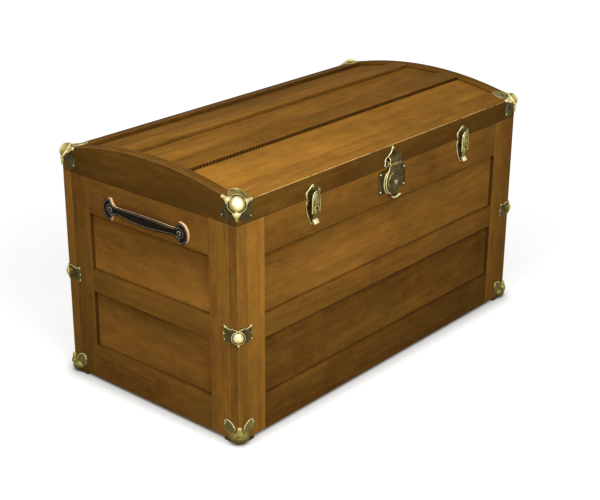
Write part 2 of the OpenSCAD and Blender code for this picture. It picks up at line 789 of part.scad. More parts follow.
module hasp_pin() {
    half = housing_w / 2 + 0.2 + hasp_ear_t / 2;
    color(steel)
        on_front(0, seam_z) translate([-half, hasp_pivot[1], hasp_pivot[0]]) rotate([0, 90, 0])
            cylinder(r = hasp_pin_r, h = 2 * half, $fn = 32);
}

// Curved lip under the round part of the hasp, flaring out to a thin edge
module hasp_lip(back, plate) {
    root_r = 8;
    edge_r = 10.5;
    reach = lip_reach - back;
    intersection() {
        translate([0, drum_y - hasp_r + 4.5, back]) difference() {
            cylinder(r1 = root_r, r2 = edge_r, h = reach, $fn = 64);
            translate([0, 0, plate])
                cylinder(r1 = root_r - 1.6, r2 = edge_r - 1, h = reach - plate + 0.001, $fn = 64);
        }
        translate([-20, drum_y - hasp_r - 20, 0]) cube([40, 21, 40]);
    }
}

module hasp() {
    back = drum_h + 0.6;
    plate = plate_t;
    barrel = 3.2;
    dome_w = 16.5;
    dome_h = 4;
    dome_sphere = (dome_w * dome_w + dome_h * dome_h) / (2 * dome_h);
    color(brass)
        on_front(0, seam_z)
            difference() {
                union() {
                    translate([0, 0, back]) linear_extrude(plate) {
                        translate([0, drum_y]) circle(r = hasp_r, $fn = 96);
                        polygon([[-hasp_neck + 0.1, 2], [hasp_neck - 0.1, 2], [17, -6],
                            [hasp_r * 0.94, drum_y + hasp_r * 0.34], [-hasp_r * 0.94, drum_y + hasp_r * 0.34],
                            [-17, -6]]);
                    }
                    translate([-hasp_neck, hasp_pivot[1], hasp_pivot[0]]) rotate([0, 90, 0])
                        cylinder(r = barrel, h = 2 * hasp_neck, $fn = 32);
                    translate([-hasp_neck + 0.1, 0, back])
                        cube([2 * hasp_neck - 0.2, hasp_pivot[1], plate]);
                    intersection() {
                        translate([0, drum_y, back + plate + dome_h - dome_sphere])
                            sphere(r = dome_sphere, $fn = 128);
                        translate([0, drum_y, back + 1]) cylinder(r = dome_w + 1, h = 10, $fn = 96);
                    }
                    translate([0, drum_y, back]) cylinder(r = 3.6, h = plate + dome_h + 1, $fn = 48);
                    hasp_lip(back, plate);
                    translate([-1.5, staple_low, -8])
                        cube([3, staple_high - staple_low, 8 + back + plate / 2]);
                }
                translate([-30, hasp_pivot[1], hasp_pivot[0]]) rotate([0, 90, 0])
                    cylinder(r = hasp_pin_r + pin_play, h = 60, $fn = 32);
                translate([0, drum_y, 0]) linear_extrude(20) keyhole_cut();
                translate([-5, bolt_y - 2.4, -7]) cube([10, 4.8, 4.8]);
            }
}

// Hinges on the back, drawn with Y = 0 at the top of the case

knuckle_w = hinge_w / 3;
leaf_t = 2;

module hinge_leaf(up, knuckles) {
    difference() {
        union() {
            translate([-hinge_w / 2, up ? lid_gap : -leaf_h, 0])
                cube([hinge_w, leaf_h - (up ? lid_gap : 0), leaf_t]);
            for (x = knuckles) {
                translate([x + 0.1, lid_gap / 2, hinge_out]) rotate([0, 90, 0])
                    cylinder(r = barrel_r, h = knuckle_w - 0.2, $fn = 48);
                translate([x + 0.1, up ? lid_gap : -barrel_r, 0])
                    cube([knuckle_w - 0.2, barrel_r - (up ? 0 : lid_gap), hinge_out]);
            }
        }
        translate([-hinge_w, lid_gap / 2, hinge_out]) rotate([0, 90, 0])
            cylinder(r = hinge_pin_r + (up ? pin_play : 0), h = 2 * hinge_w, $fn = 48);
        for (x = up ? [-hinge_w / 2, knuckle_w / 2] : [-knuckle_w / 2])
            translate([x - 0.01, lid_gap / 2, hinge_out]) rotate([0, 90, 0])
                cylinder(r = barrel_r + 0.3, h = knuckle_w + 0.02, $fn = 48);
    }
}

module hinge_case_leaves() {
    color(brass) for (side = [-1, 1]) on_back(side * hinge_x, seam_z)
        hinge_leaf(false, [-hinge_w / 2, knuckle_w / 2]);
}

module hinge_lid_leaves() {
    color(brass) for (side = [-1, 1]) on_back(side * hinge_x, seam_z)
        hinge_leaf(true, [-knuckle_w / 2]);
}

module hinge_pins() {
    color(steel) for (side = [-1, 1]) on_back(side * hinge_x, seam_z)
        translate([-hinge_w / 2, lid_gap / 2, hinge_out]) rotate([0, 90, 0])
            cylinder(r = hinge_pin_r, h = hinge_w, $fn = 48);
}

// Leather handles, drawn with X along the end and Y = 0 at the screws' height

washer_r = 6;
washer_t = 1;
// Hollows between the grip and the horns of its ends
neck_r = 13;
neck_x = 14;

module handle_outline() {
    half = handle_span / 2;
    bulge = 900;
    difference() {
        translate([-half, -grip_h / 2]) square([2 * half, grip_h]);
        for (side = [-1, 1])
            difference() {
                translate([-half, side * grip_h / 2 - grip_h / 4]) square([2 * half, grip_h / 2]);
                translate([0, side * (grip_h / 2 - bulge)]) circle(r = bulge, $fn = 720);
            }
    }
    for (side = [-1, 1])
        flipped(side < 0, [1, 0, 0])
            difference() {
                translate([half, 0]) circle(r = handle_end_h / 2, $fn = 96);
                translate([half - neck_x - handle_end_h, -handle_end_h])
                    square([handle_end_h, 2 * handle_end_h]);
                for (low = [-1, 1])
                    translate([half - neck_x, low * handle_end_h / 2]) circle(r = neck_r, $fn = 64);
            }
}

// Bowed strap: X along the end, Y out of the wood
module bow_profile() {
    half = handle_span / 2;
    flat = 16;
    run = half - flat;
    bow_r = (run * run + grip_bow * grip_bow) / (2 * grip_bow);
    difference() {
        union() {
            translate([-half - 24, 0]) square([2 * half + 48, leather_t]);
            intersection() {
                translate([0, leather_t + grip_bow - bow_r]) circle(r = bow_r, $fn = 360);
                translate([-half, leather_t / 2]) square([2 * half, leather_t + grip_bow]);
            }
        }
        intersection() {
            translate([0, grip_bow - bow_r]) circle(r = bow_r, $fn = 360);
            translate([-half, -1]) square([2 * half, grip_bow + 2]);
        }
    }
}

module handle_strap() {
    difference() {
        intersection() {
            linear_extrude(leather_t + grip_bow + 2) handle_outline();
            translate([0, handle_end_h, 0]) rotate([90, 0, 0]) linear_extrude(2 * handle_end_h) bow_profile();
        }
        for (side = [-1, 1])
            translate([side * handle_span / 2, 0, -1])
                cylinder(r = screw_r + 0.2, h = leather_t + 2, $fn = 32);
    }
}

// Pilot holes for the handle screws, cut from a rail
module handle_screw_holes() {
    for (side = [-1, 1])
        translate([side * handle_span / 2, handle_z, -screw_depth - 1])
            cylinder(r = screw_r, h = screw_depth + 2, $fn = 32);
}

module handle_screw_set() {
    for (side = [-1, 1])
        translate([side * handle_span / 2, 0, 0]) {
            translate([0, 0, -screw_depth])
                cylinder(r = screw_r, h = screw_depth + leather_t + washer_t, $fn = 32);
            translate([0, 0, leather_t + washer_t]) cylinder(r1 = 4, r2 = 2.6, h = 1.8, $fn = 48);
        }
}

module handle_washer_set() {
    for (side = [-1, 1])
        translate([side * handle_span / 2, 0, leather_t])
            difference() {
                cylinder(r = washer_r, h = washer_t, $fn = 48);
                translate([0, 0, -1]) cylinder(r = screw_r + 0.2, h = washer_t + 2, $fn = 32);
            }
}

module left_handle() { color(leather) on_end(-1, base_z + handle_z) handle_strap(); }
module right_handle() { color(leather) on_end(1, base_z + handle_z) handle_strap(); }
module handle_screws() {
    color(steel) for (side = [-1, 1]) on_end(side, base_z + handle_z) handle_screw_set();
}
module handle_washers() {
    color(brass) for (side = [-1, 1]) on_end(side, base_z + handle_z) handle_washer_set();
}

front_stiles();
front_rails();
front_panels();
back_stiles();
back_rails();
back_panels();
left_stiles();
left_rails();
left_panels();
right_stiles();
right_rails();
right_panels();
bottom_board();
bottom_cleats();
base_corner_caps();
edge_clamps();
left_drawbolt_plate();
right_drawbolt_plate();
left_lever_pin();
right_lever_pin();
lock_plate();
lock_case();
lock_bolt();
hinge_case_leaves();
hinge_pins();
left_handle();
right_handle();
handle_screws();
handle_washers();
lid_front_board();
lid_back_board();
lid_left_end();
lid_right_end();
lid_front_rail();
lid_second_rail();
lid_third_rail();
lid_back_rail();
lid_front_panel();
lid_middle_panel();
lid_back_panel();
lid_corner_caps();
left_drawbolt_catch();
right_drawbolt_catch();
hinge_lid_leaves();
hasp_plate();
hasp_pin();
left_drawbolt_lever();
right_drawbolt_lever();
left_drawbolt_tongue();
right_drawbolt_tongue();
left_tongue_pin();
right_tongue_pin();
hasp();
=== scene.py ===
import math
import random

import bmesh
import bpy
from mathutils import Matrix, Vector, geometry


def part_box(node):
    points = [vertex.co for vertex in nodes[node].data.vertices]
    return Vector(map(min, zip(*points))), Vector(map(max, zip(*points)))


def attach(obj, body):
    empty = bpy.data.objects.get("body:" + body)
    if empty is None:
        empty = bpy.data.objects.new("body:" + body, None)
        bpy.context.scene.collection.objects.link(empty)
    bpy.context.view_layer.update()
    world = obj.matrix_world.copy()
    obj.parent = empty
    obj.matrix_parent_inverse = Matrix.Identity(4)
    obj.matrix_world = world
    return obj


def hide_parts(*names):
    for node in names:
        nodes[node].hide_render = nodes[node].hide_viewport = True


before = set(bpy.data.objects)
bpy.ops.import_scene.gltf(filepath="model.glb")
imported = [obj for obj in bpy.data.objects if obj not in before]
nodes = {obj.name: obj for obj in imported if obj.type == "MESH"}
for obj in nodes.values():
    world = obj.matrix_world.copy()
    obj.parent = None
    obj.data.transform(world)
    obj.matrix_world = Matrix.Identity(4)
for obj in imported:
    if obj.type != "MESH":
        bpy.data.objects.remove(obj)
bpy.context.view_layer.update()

mm = 0.001
print("frame loaded:", len(nodes), "nodes")


# camera: where the photograph was taken from, in the frame's metres
shot = {
    "eye": (-1.793457, -1.529664, 1.152893),
    "turn": -49.37,
    "rise": 22.05,
    "roll": 0.31,
    "lens": 78.41,
    "sensor": 36,
    "farthest": 100,
    "shiftRight": 0.0014,
    "shiftUp": -0.0195,
}


def makeCamera():
    turn, rise, roll = (math.radians(shot[k]) for k in ("turn", "rise", "roll"))
    back = Vector((math.sin(turn) * math.cos(rise), -math.cos(turn) * math.cos(rise), math.sin(rise)))
    right = Vector((math.cos(turn), math.sin(turn), 0))
    up = back.cross(right)
    rightRolled = right * math.cos(roll) + up * math.sin(roll)
    upRolled = up * math.cos(roll) - right * math.sin(roll)
    camera = bpy.data.cameras.new("photoCamera")
    camera.sensor_fit = "HORIZONTAL"
    camera.sensor_width = shot["sensor"]
    camera.lens = shot["lens"]
    camera.shift_x = shot["shiftRight"]
    camera.shift_y = shot["shiftUp"]
    camera.clip_end = shot["farthest"]
    holder = bpy.data.objects.new("photoCamera", camera)
    bpy.context.scene.collection.objects.link(holder)
    turned = Matrix((rightRolled, upRolled, back)).transposed().to_4x4()
    holder.matrix_world = Matrix.Translation(shot["eye"]) @ turned
    bpy.context.scene.camera = holder


makeCamera()


# shader maths: a Wire is a socket that can stand in a sum, and node() makes any other node
class Wire:
    def __init__(self, tree, socket=None):
        self.tree, self.socket = tree, socket

    def node(self, kind, settings=None, values=None, out=0):
        made = self.tree.nodes.new("ShaderNode" + kind)
        for name, value in (settings or {}).items():
            if name == "stops":
                ramp = made.color_ramp
                while len(ramp.elements) < len(value):
                    ramp.elements.new(0.5)
                for element, (place, colour) in zip(ramp.elements, value):
                    element.position = place
                    element.color = colour
            else:
                setattr(made, name, value)
        for name, value in (values or {}).items():
            if isinstance(value, Wire):
                self.tree.links.new(value.socket, made.inputs[name])
            else:
                made.inputs[name].default_value = value
        return Wire(self.tree, made.outputs[out])

    def attribute(self, name):  # a number that the mesh carries
        return self.node("Attribute", {"attribute_name": name}, out="Fac")

    def sum(self, operation, first, second=0.0):
        return self.node("Math", {"operation": operation}, {0: first, 1: second})

    def __add__(self, other):
        return self.sum("ADD", self, other)

    def __radd__(self, other):
        return self.sum("ADD", other, self)

    def __sub__(self, other):
        return self.sum("SUBTRACT", self, other)

    def __rsub__(self, other):
        return self.sum("SUBTRACT", other, self)

    def __mul__(self, other):
        return self.sum("MULTIPLY", self, other)

    def __rmul__(self, other):
        return self.sum("MULTIPLY", other, self)

    def step(self, low, high):  # 0 below low, 1 above high, smooth between
        ends = {0: self, 1: low, 2: high, 3: 0.0, 4: 1.0}
        return self.node("MapRange", {"interpolation_type": "SMOOTHSTEP"}, ends)

    def blend(self, first, second):  # two colours, by this amount
        return self.node("Mix", {"data_type": "RGBA"}, {0: self, 6: first, 7: second}, 2)


def colour(red, green, blue):  # from the 0-255 numbers of a colour picker
    parts = [v / 255 for v in (red, green, blue)]
    return tuple(v / 12.92 if v <= 0.04045 else ((v + 0.055) / 1.055) ** 2.4 for v in parts) + (1.0,)


def startLook(name):  # a new look, its wire, and where each spot lies on the object
    look = bpy.data.materials.new(name)
    look.use_nodes = True
    look.node_tree.nodes.clear()
    wire = Wire(look.node_tree)
    return look, wire, wire.node("TexCoord", out="Object")


def closeLook(look, wire, surface):  # surface: a shader, or the values of a principled one
    if isinstance(surface, dict):
        surface = wire.node("BsdfPrincipled", None, surface)
    out = wire.tree.nodes.new("ShaderNodeOutputMaterial")
    wire.tree.links.new(surface.socket, out.inputs["Surface"])
    return look


def grained(wire, place, scale, detail=2.0, rough=0.5):  # noise, stretched where scale has three numbers
    scales = scale if isinstance(scale, tuple) else (scale,) * 3
    spot = wire.node("Mapping", {"vector_type": "POINT"}, {"Vector": place, "Scale": scales})
    return wire.node("TexNoise", None, {"Vector": spot, "Scale": 1.0, "Detail": detail, "Roughness": rough})


# wood: one look for each way the grain runs
wood = {
    "tones": [
        (0.00, colour(52, 31, 10)),
        (0.28, colour(90, 59, 21)),
        (0.52, colour(126, 85, 33)),
        (0.76, colour(160, 111, 42)),
        (1.00, colour(198, 144, 62)),
    ],
    "oliveTone": colour(92, 74, 26),
    "wornTone": colour(214, 170, 104),
    "dirtTone": colour(38, 21, 7),
    "tickTone": colour(20, 12, 5),
    "blotch": 0.34,
    "streak": 0.10,
    "mottle": 0.26,
    "rings": 0.022,
    "ringCount": 62.0,
    "pores": 0.20,
    "olive": 0.34,
    "ticks": 0.85,
    "tickPitch": 0.0080,
    "curl": 0.20,
    "sway": 0.03,
    "wornEdge": 0.55,
    "seamShade": 0.88,
    "roughness": 0.50,
    "shine": 0.035,
    "panelLift": 0.03,
    "panelFigure": 1.25,
    "noises": {  # scale along the grain, scale across it, detail, roughness
        "wander": (2.2, 7.0, 2.0, 0.5),
        "blotch": (5.0, 13.0, 3.0, 0.55),
        "streak": (3.2, 150.0, 5.0, 0.62),
        "mottle": (26.0, 85.0, 4.0, 0.6),
        "contour": (1.3, 16.0, 1.0, 0.3),
        "pores": (70.0, 1300.0, 2.0, 0.6),
        "bars": (34.0, 7.0, 2.0, 0.5),
        "rubbed": (60.0, 60.0, 3.0, 0.5),
        "olive": (9.0, 20.0, 3.0, 0.6),
        "dirt": (30.0, 30.0, 3.0, 0.5),
    },
}


def makeWood(name, along, lift=0.0, figure=1.0):
    look, wire, place = startLook(name)

    def noise(kind, spot):
        lengthwise, across, detail, rough = wood["noises"][kind]
        return grained(wire, spot, tuple(lengthwise if i == along else across for i in range(3)), detail, rough)

    def moved(spot, by):
        way = wire.node("CombineXYZ", None, dict(zip("XYZ", by)))
        return wire.node("VectorMath", {"operation": "ADD"}, {0: spot, 1: way})

    seed, tone, curl, worn, seam, ticks = (
        wire.attribute(kind) for kind in ("boardSeed", "boardTone", "boardCurl", "worn", "seam", "ticks")
    )
    board = moved(place, (seed * 3.7, seed * 5.3, seed * 4.1))  # each board cut from another part of the tree
    wander = (noise("wander", board) - 0.5) * wood["sway"]
    bent = moved(board, (wander, wander, wander))
    blotch, mottle, bars = (noise(kind, board) - 0.5 for kind in ("blotch", "mottle", "bars"))
    streak = noise("streak", bent) - 0.5
    rings = wire.sum("SINE", noise("contour", bent) * wood["ringCount"])
    pores = noise("pores", bent).step(0.54, 0.66)
    value = (
        blotch * (wood["blotch"] * figure)
        + streak * wood["streak"]
        + mottle * wood["mottle"]
        + rings * wood["rings"]
        + bars * curl * wood["curl"]
        + tone
        + (0.5 + lift)
        - pores * wood["pores"] * 0.5
    )
    stain = wire.node("ValToRGB", {"stops": wood["tones"]}, {"Fac": value})
    green = noise("olive", board).step(0.42, 0.72)
    stain = (green * wood["olive"]).blend(stain, wood["oliveTone"])
    # the pale arris tone is partly wear and partly a painted highlight along the lit edges
    rubbed = noise("rubbed", board).step(0.22, 0.52)
    paler = (worn * rubbed * wood["wornEdge"]).blend(stain, wood["wornTone"])
    # painted shade: the seam attribute darkens recess edges and walls, mottled by noise
    dirt = noise("dirt", board).step(0.15, 0.75)
    shaded = (seam * (0.55 + dirt * 0.45) * wood["seamShade"]).blend(paler, wood["dirtTone"])
    runs = wire.node("SeparateXYZ", None, {"Vector": place}, "X")
    notches = wire.sum("SINE", runs * (math.tau / wood["tickPitch"])).step(-0.2, 0.5)
    shaded = (ticks * notches * wood["ticks"]).blend(shaded, wood["tickTone"])
    height = streak * 0.35 - pores * 0.6 + blotch * 0.5
    return closeLook(look, wire, {
        "Base Color": shaded,
        "Roughness": wood["roughness"] + blotch * 0.12 + pores * 0.18 + worn * 0.08,
        "Normal": wire.node("Bump", None, {"Strength": 0.35, "Distance": 0.0004, "Height": height}),
        "Specular IOR Level": wood["shine"],
        "IOR": 1.1,
    })


grains = {axis: makeWood("stainedWoodGrain" + axis, i) for i, axis in enumerate("XYZ")}
panelGrains = {
    axis: makeWood("stainedPanelGrain" + axis, i, wood["panelLift"], wood["panelFigure"])
    for i, axis in enumerate("XY")
}
print("wood looks made")


# antique brass: dark in the hollows, rubbed to cream gold where it stands proud; rise also carries painted highlights
# on rims, balls and domes
brass = {
    "tones": [
        (0.0, colour(43, 31, 9)),
        (0.3, colour(94, 83, 32)),
        (0.55, colour(172, 157, 88)),
        (0.8, colour(238, 226, 176)),
        (1.0, colour(255, 250, 228)),
    ],
    "dullTones": [
        (0.0, colour(20, 19, 16)),
        (0.4, colour(52, 50, 44)),
        (0.7, colour(120, 116, 104)),
        (1.0, colour(190, 186, 172)),
    ],
    "metal": 0.6,
    "roughness": 0.52,
}


def makeBrass(name, tones):
    look, wire, place = startLook(name)
    cloud = grained(wire, place, 70.0, 4.0, 0.6) - 0.5
    speck = grained(wire, place, 520.0, 3.0, 0.7) - 0.5
    value = wire.attribute("rise") * 0.62 + wire.attribute("worn") * 0.42 + cloud * 0.55 + speck * 0.25 + 0.10
    pits = wire.node("Bump", None, {"Strength": 0.25, "Distance": 0.0003, "Height": cloud * 0.5 + speck})
    return closeLook(look, wire, {
        "Base Color": wire.node("ValToRGB", {"stops": tones}, {"Fac": value}),
        "Metallic": brass["metal"],
        "Roughness": brass["roughness"] - value * 0.2 + speck * 0.15,
        "Normal": pits,
        "IOR": 1.25,
    })


brassLook = makeBrass("antiqueBrass", brass["tones"])
dullLook = makeBrass("dullIron", brass["dullTones"])


def makeMottled(name, scale, detail, rough, dark, pale, values, rougher=0.0):  # two tones in fine clouds
    look, wire, place = startLook(name)
    cloud = grained(wire, place, scale, detail, rough)
    values["Base Color"] = cloud.blend(colour(*dark), colour(*pale))
    if rougher:
        values["Roughness"] = values["Roughness"] + cloud * rougher
    return closeLook(look, wire, values)


steelLook = makeMottled(
    "plainSteel", 90.0, 4.0, 0.6, (120, 118, 112), (176, 174, 168), {"Metallic": 1.0, "Roughness": 0.25}, 0.3
)
rawEdgeLook = makeMottled(  # the undyed cut edge of the leather
    "rawLeatherEdge", 160.0, 3.0, 0.5, (226, 176, 126), (255, 218, 172),
    {"Roughness": 0.55, "Specular IOR Level": 0.2},
)
threadLook = makeMottled("waxedThread", 300.0, 2.0, 0.5, (112, 106, 88), (180, 172, 148), {"Roughness": 0.6})


def makeLeather(name):
    look, wire, place = startLook(name)
    cells = wire.node("TexVoronoi", {"feature": "DISTANCE_TO_EDGE"}, {"Vector": place, "Scale": 620.0}, "Distance")
    cloud = grained(wire, place, 45.0, 4.0, 0.6)
    height = cells.step(0.0, 0.09) * 0.7 + cloud * 0.4
    return closeLook(look, wire, {
        "Base Color": (cloud * 0.6).blend(colour(15, 11, 7), colour(50, 40, 27)),
        "Roughness": 0.36 + cloud * 0.25,
        "Normal": wire.node("Bump", None, {"Strength": 0.5, "Distance": 0.0003, "Height": height}),
        "Specular IOR Level": 0.04,
        "IOR": 1.2,
    })


leatherLook = makeLeather("blackLeather")


# making pieces
def meshOf(bm, name="part"):
    mesh = bpy.data.meshes.new(name)
    bm.to_mesh(mesh)
    bm.free()
    return mesh


def pieceFrom(bm, name, looks, body, slot, node, sharp=50):
    mesh = meshOf(bm, name)
    for look in looks:
        mesh.materials.append(look)
    mesh.polygons.foreach_set("use_smooth", [True] * len(mesh.polygons))
    mesh.set_sharp_from_angle(angle=math.radians(sharp))
    piece = bpy.data.objects.new(name, mesh)
    bpy.context.scene.collection.objects.link(piece)
    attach(piece, body)
    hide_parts(node)


def brassPiece(bm, name, body, node, sharp=50):
    pieceFrom(bm, name, [brassLook], body, "antique_brass", node, sharp)


def soften(bm, edges, width, material=-1):  # bevels the edges and gives the new faces
    return bmesh.ops.bevel(
        bm, geom=edges, offset=width, offset_type="OFFSET", segments=2, profile=0.5, affect="EDGES",
        clamp_overlap=True, material=material,
    )["faces"]


def cutAcross(bm, at, way, close=False):  # adds edges along a plane; close drops what lies beyond and fills the hole
    everything = bm.verts[:] + bm.edges[:] + bm.faces[:]
    cut = bmesh.ops.bisect_plane(bm, geom=everything, plane_co=at, plane_no=way, clear_outer=close)
    if close:
        bmesh.ops.edgenet_fill(bm, edges=[item for item in cut["geom_cut"] if isinstance(item, bmesh.types.BMEdge)])
        bmesh.ops.recalc_face_normals(bm, faces=bm.faces)


def nodeShape(name):  # a CAD node's own shape
    bm = bmesh.new()
    bm.from_mesh(nodes[name].data)
    bmesh.ops.remove_doubles(bm, verts=bm.verts, dist=1e-6)
    bmesh.ops.dissolve_limit(bm, angle_limit=math.radians(0.6), verts=bm.verts, edges=bm.edges)
    return bm


# rounds the arrises; the new faces carry edge wear, and on the wood also a painted highlight
def easeArrises(bm, width, worn=1.0):
    layer = bm.faces.layers.float.new("worn")
    sharp = math.radians(28)
    edges = [e for e in bm.edges if len(e.link_faces) == 2 and e.calc_face_angle() > sharp]
    for face in soften(bm, edges, width):
        face[layer] = worn


def islands(bm):  # the groups of faces that hang together
    left = set(bm.faces)
    while left:
        group, stack = [], [left.pop()]
        while stack:
            face = stack.pop()
            group.append(face)
            for other in (other for edge in face.edges for other in edge.link_faces if other in left):
                left.remove(other)
                stack.append(other)
        yield group


def spanOf(faces, axis):  # how far they reach along one axis
    spots = [v.co[axis] for f in faces for v in f.verts]
    return min(spots), max(spots)


# boards: each is its own plank, so each has its own grain, tone and figure
boards = {
    "arris": 0.7 * mm,
    "toneSpread": 0.015,
    "groove": 6.8 * mm,
    "lidGroove": 4.8 * mm,
    # painted shade in the recesses: how dark it is near each panel's edge, and on the recess walls
    "seamSteps": [(0.0, 1.0), (0.6 * mm, 0.75), (1.5 * mm, 0.2), (3.4 * mm, 0.0)],
    "wallSide": 0.6,
    "wallUp": 0.15,
    "lidWall": {"lid_second_rail": 0.6, "lid_third_rail": 0.5, "lid_back_rail": 0.8},
    "wallInset": 4 * mm,
    "wallDepth": 8 * mm,
    "outwards": {"front": (0, -1, 0), "back": (0, 1, 0), "left": (-1, 0, 0), "right": (1, 0, 0)},
    "bands": {  # streaks of another tone along a board: from, to (mm along X), tone
        "front_stiles": [(-406, -383, -0.10), (-361, -350, -0.05)],
    },
    # painted light and shade: another tone for the faces that look along this axis
    "sideTone": {"front_stiles": (0, -0.13), "lid_front_board": (2, 0.32), "lid_left_end": (2, 0.14)},
    # how pale each board's arrises are: wear and a painted highlight, brightest on the lid's front board and left end
    "wornPlaces": {
        "lid_front_board": 1.4, "lid_left_end": 1.5, "lid_right_end": 0.9, "lid_front_rail": 0.1,
        "lid_second_rail": 0.1, "lid_third_rail": 0.1, "lid_back_rail": 0.1,
    },
}
boardPlan = {  # node: tones from the lowest or leftmost board on, curl of the figure; darker tones low on the front are painted shade
    "front_stiles": ((0.10, -0.03), 0.3),
    # painted shade: the lowest front rail has the darkest tone
    "front_rails": ((-0.21, -0.06, -0.07), 0.4),
    "back_stiles": ((0.0, 0.06), 0.3),
    "back_rails": ((-0.05, 0.0, 0.03), 0.4),
    "left_stiles": ((0.04, -0.10), 0.3),
    "left_rails": ((-0.12, 0.0, -0.04), 0.5),
    "right_stiles": ((0.04, 0.0), 0.3),
    "right_rails": ((0.0, 0.04, 0.0), 0.5),
    "bottom_board": ((0.08,), 0.2),
    "bottom_cleats": ((0.0,), 0.2),
    "lid_front_board": ((-0.24,), 0.3),
    "lid_back_board": ((-0.08,), 0.3),
    "lid_left_end": ((-0.24,), 0.3),
    "lid_right_end": ((-0.12,), 0.3),
    "lid_front_rail": ((0.06,), 1.3),
    "lid_second_rail": ((0.0,), 0.6),
    "lid_third_rail": ((0.10,), 0.6),
    "lid_back_rail": ((-0.04,), 0.6),
    # painted shade: the lower front panel is darker than the upper one
    "front_panels": ((-0.25, -0.07), 0.5),
    "back_panels": ((0.0, 0.03), 0.5),
    "left_panels": ((-0.11, -0.07), 0.4),
    "right_panels": ((-0.02, 0.0), 0.4),
    "lid_front_panel": ((0.13,), 0.5),
    "lid_middle_panel": ((0.03,), 0.5),
    "lid_back_panel": ((0.03,), 0.5),
}


def boardLook(node):  # the look whose grain runs along the board
    endways = node.startswith(("left", "right")) or node.endswith("_end")
    axis = "Z" if "stiles" in node else "Y" if endways else "X"
    return panelGrains[axis] if "panel" in node else grains[axis]


def boardSlot(node):
    if "panel" in node:
        return "panel_wood"
    return "lid_wood" if node.startswith("lid") else "inner_wood" if node.startswith("bottom") else "frame_wood"


def nearEdge(distance):  # how dark the painted shade in a recess is, this far from its edge
    steps = boards["seamSteps"]
    for (near, dark), (far, pale) in zip(steps, steps[1:]):
        if distance < far:
            return dark + (pale - dark) * max(0, distance - near) / (far - near)
    return 0.0


def paintPanelShade(bm, node):  # painted shade: darker towards the edges of each panel's opening
    hidden = boards["lidGroove"] if "lid" in node else boards["groove"]
    ways = (1 if node.startswith(("left", "right")) else 0, 1 if "lid" in node else 2)
    openings = []
    for group in sorted(islands(bm), key=middleOf):
        spans = [spanOf(group, i) for i in ways]
        openings.append([(i, low + hidden, top - hidden) for i, (low, top) in zip(ways, spans)])
    for opening in openings:
        for i, low, top in opening:
            way = Vector([1 if k == i else 0 for k in range(3)])
            for step, _ in boards["seamSteps"]:
                cutAcross(bm, way * (low + step), way)
                cutAcross(bm, way * (top - step), way)
    # the seam layer holds painted shade, darkest at each opening's edge
    seam = bm.verts.layers.float.new("seam")
    for vert in bm.verts:
        inward = (min(min(vert.co[i] - low, top - vert.co[i]) for i, low, top in opening) for opening in openings)
        vert[seam] = min(nearEdge(distance) for distance in inward)


def paintWallShade(bm, node):  # painted shade on the walls of the recesses, seen above the panels
    # the seam layer on the walls holds painted shade, darker on walls that face sideways than on walls that face up
    seam = bm.faces.layers.float.new("seam")
    out = boards["outwards"].get(node.split("_")[0])
    least, most = (Vector(corner) for corner in zip(*(spanOf(bm.faces, i) for i in range(3))))
    inset = boards["wallInset"]
    for face in bm.faces:
        centre, way = face.calc_center_median(), face.normal
        if out is None:
            inner = abs(way.z) < 0.55 and abs(way.y) > 0.5
            face[seam] = boards["lidWall"].get(node, 0.0) if inner else 0.0
            continue
        out = Vector(out)
        depth = max(least.dot(out), most.dot(out)) - centre.dot(out)
        inside = all(least[i] + inset < centre[i] < most[i] - inset for i in range(3) if abs(way[i]) > 0.8)
        if abs(way.dot(out)) < 0.3 and depth < boards["wallDepth"] and inside:
            face[seam] = boards["wallUp"] if way.z > 0.5 else boards["wallSide"]


def highlightOutwardArrises(bm):  # the lid's arrises stay pale only where they look outwards and up: partly wear, partly a painted highlight
    layer = bm.faces.layers.float["worn"]
    for face in bm.faces:
        way, centre = face.normal, face.calc_center_median()
        if way.z < 0.3 or max(-way.y, way.x * math.copysign(1, centre.x)) < 0.3:
            face[layer] = min(face[layer], 0.1)


def tickWall(bm):  # the second rail's front wall has a row of small dark ticks in its colour
    ticks = bm.faces.layers.float.new("ticks")
    for face in bm.faces:
        if face.normal.y < -0.5 and abs(face.normal.z) < 0.55:
            face[ticks] = 1.0


def middleOf(group):  # the middle of a board, to the nearest centimetre
    return tuple(round(sum(spanOf(group, i)) / 2, 2) for i in range(3))


def makeBoards(node, tones, curl):
    bm = nodeShape(node)
    if "panel" in node:
        paintPanelShade(bm, node)
    else:
        paintWallShade(bm, node)
        easeArrises(bm, boards["arris"], boards["wornPlaces"].get(node, 0.25))
        if "lid" in node:
            highlightOutwardArrises(bm)
        if node == "lid_second_rail":
            tickWall(bm)
    seeds, shades, curls = (bm.faces.layers.float.new(kind) for kind in ("boardSeed", "boardTone", "boardCurl"))
    bands = boards["bands"].get(node, ())
    for low, high, _ in bands:
        for at in (low, high):
            cutAcross(bm, (at * mm, 0, 0), (1, 0, 0))
    draw = random.Random(node)
    for i, group in enumerate(sorted(islands(bm), key=middleOf)):
        seed, figure = draw.random() * 9, curl * draw.uniform(0.6, 1.4)
        shade = tones[min(i, len(tones) - 1)] + draw.uniform(-1, 1) * boards["toneSpread"]
        for face in group:
            middle = face.calc_center_median().x / mm
            way, change = boards["sideTone"].get(node, (0, 0))
            banded = sum(change for low, high, change in bands if low < middle < high)
            # painted light and shade: faces that look along the given axis get a lighter or darker tone
            paintedByFacing = change if abs(face.normal[way]) > 0.9 else 0
            face[seeds], face[shades], face[curls] = seed, shade + banded + paintedByFacing, figure
    body = "lid" if node.startswith("lid") else "case"
    pieceFrom(bm, node + ".boards", [boardLook(node)], body, boardSlot(node), node, 40)


for node, (tones, curl) in boardPlan.items():
    makeBoards(node, tones, curl)
print("boards made")


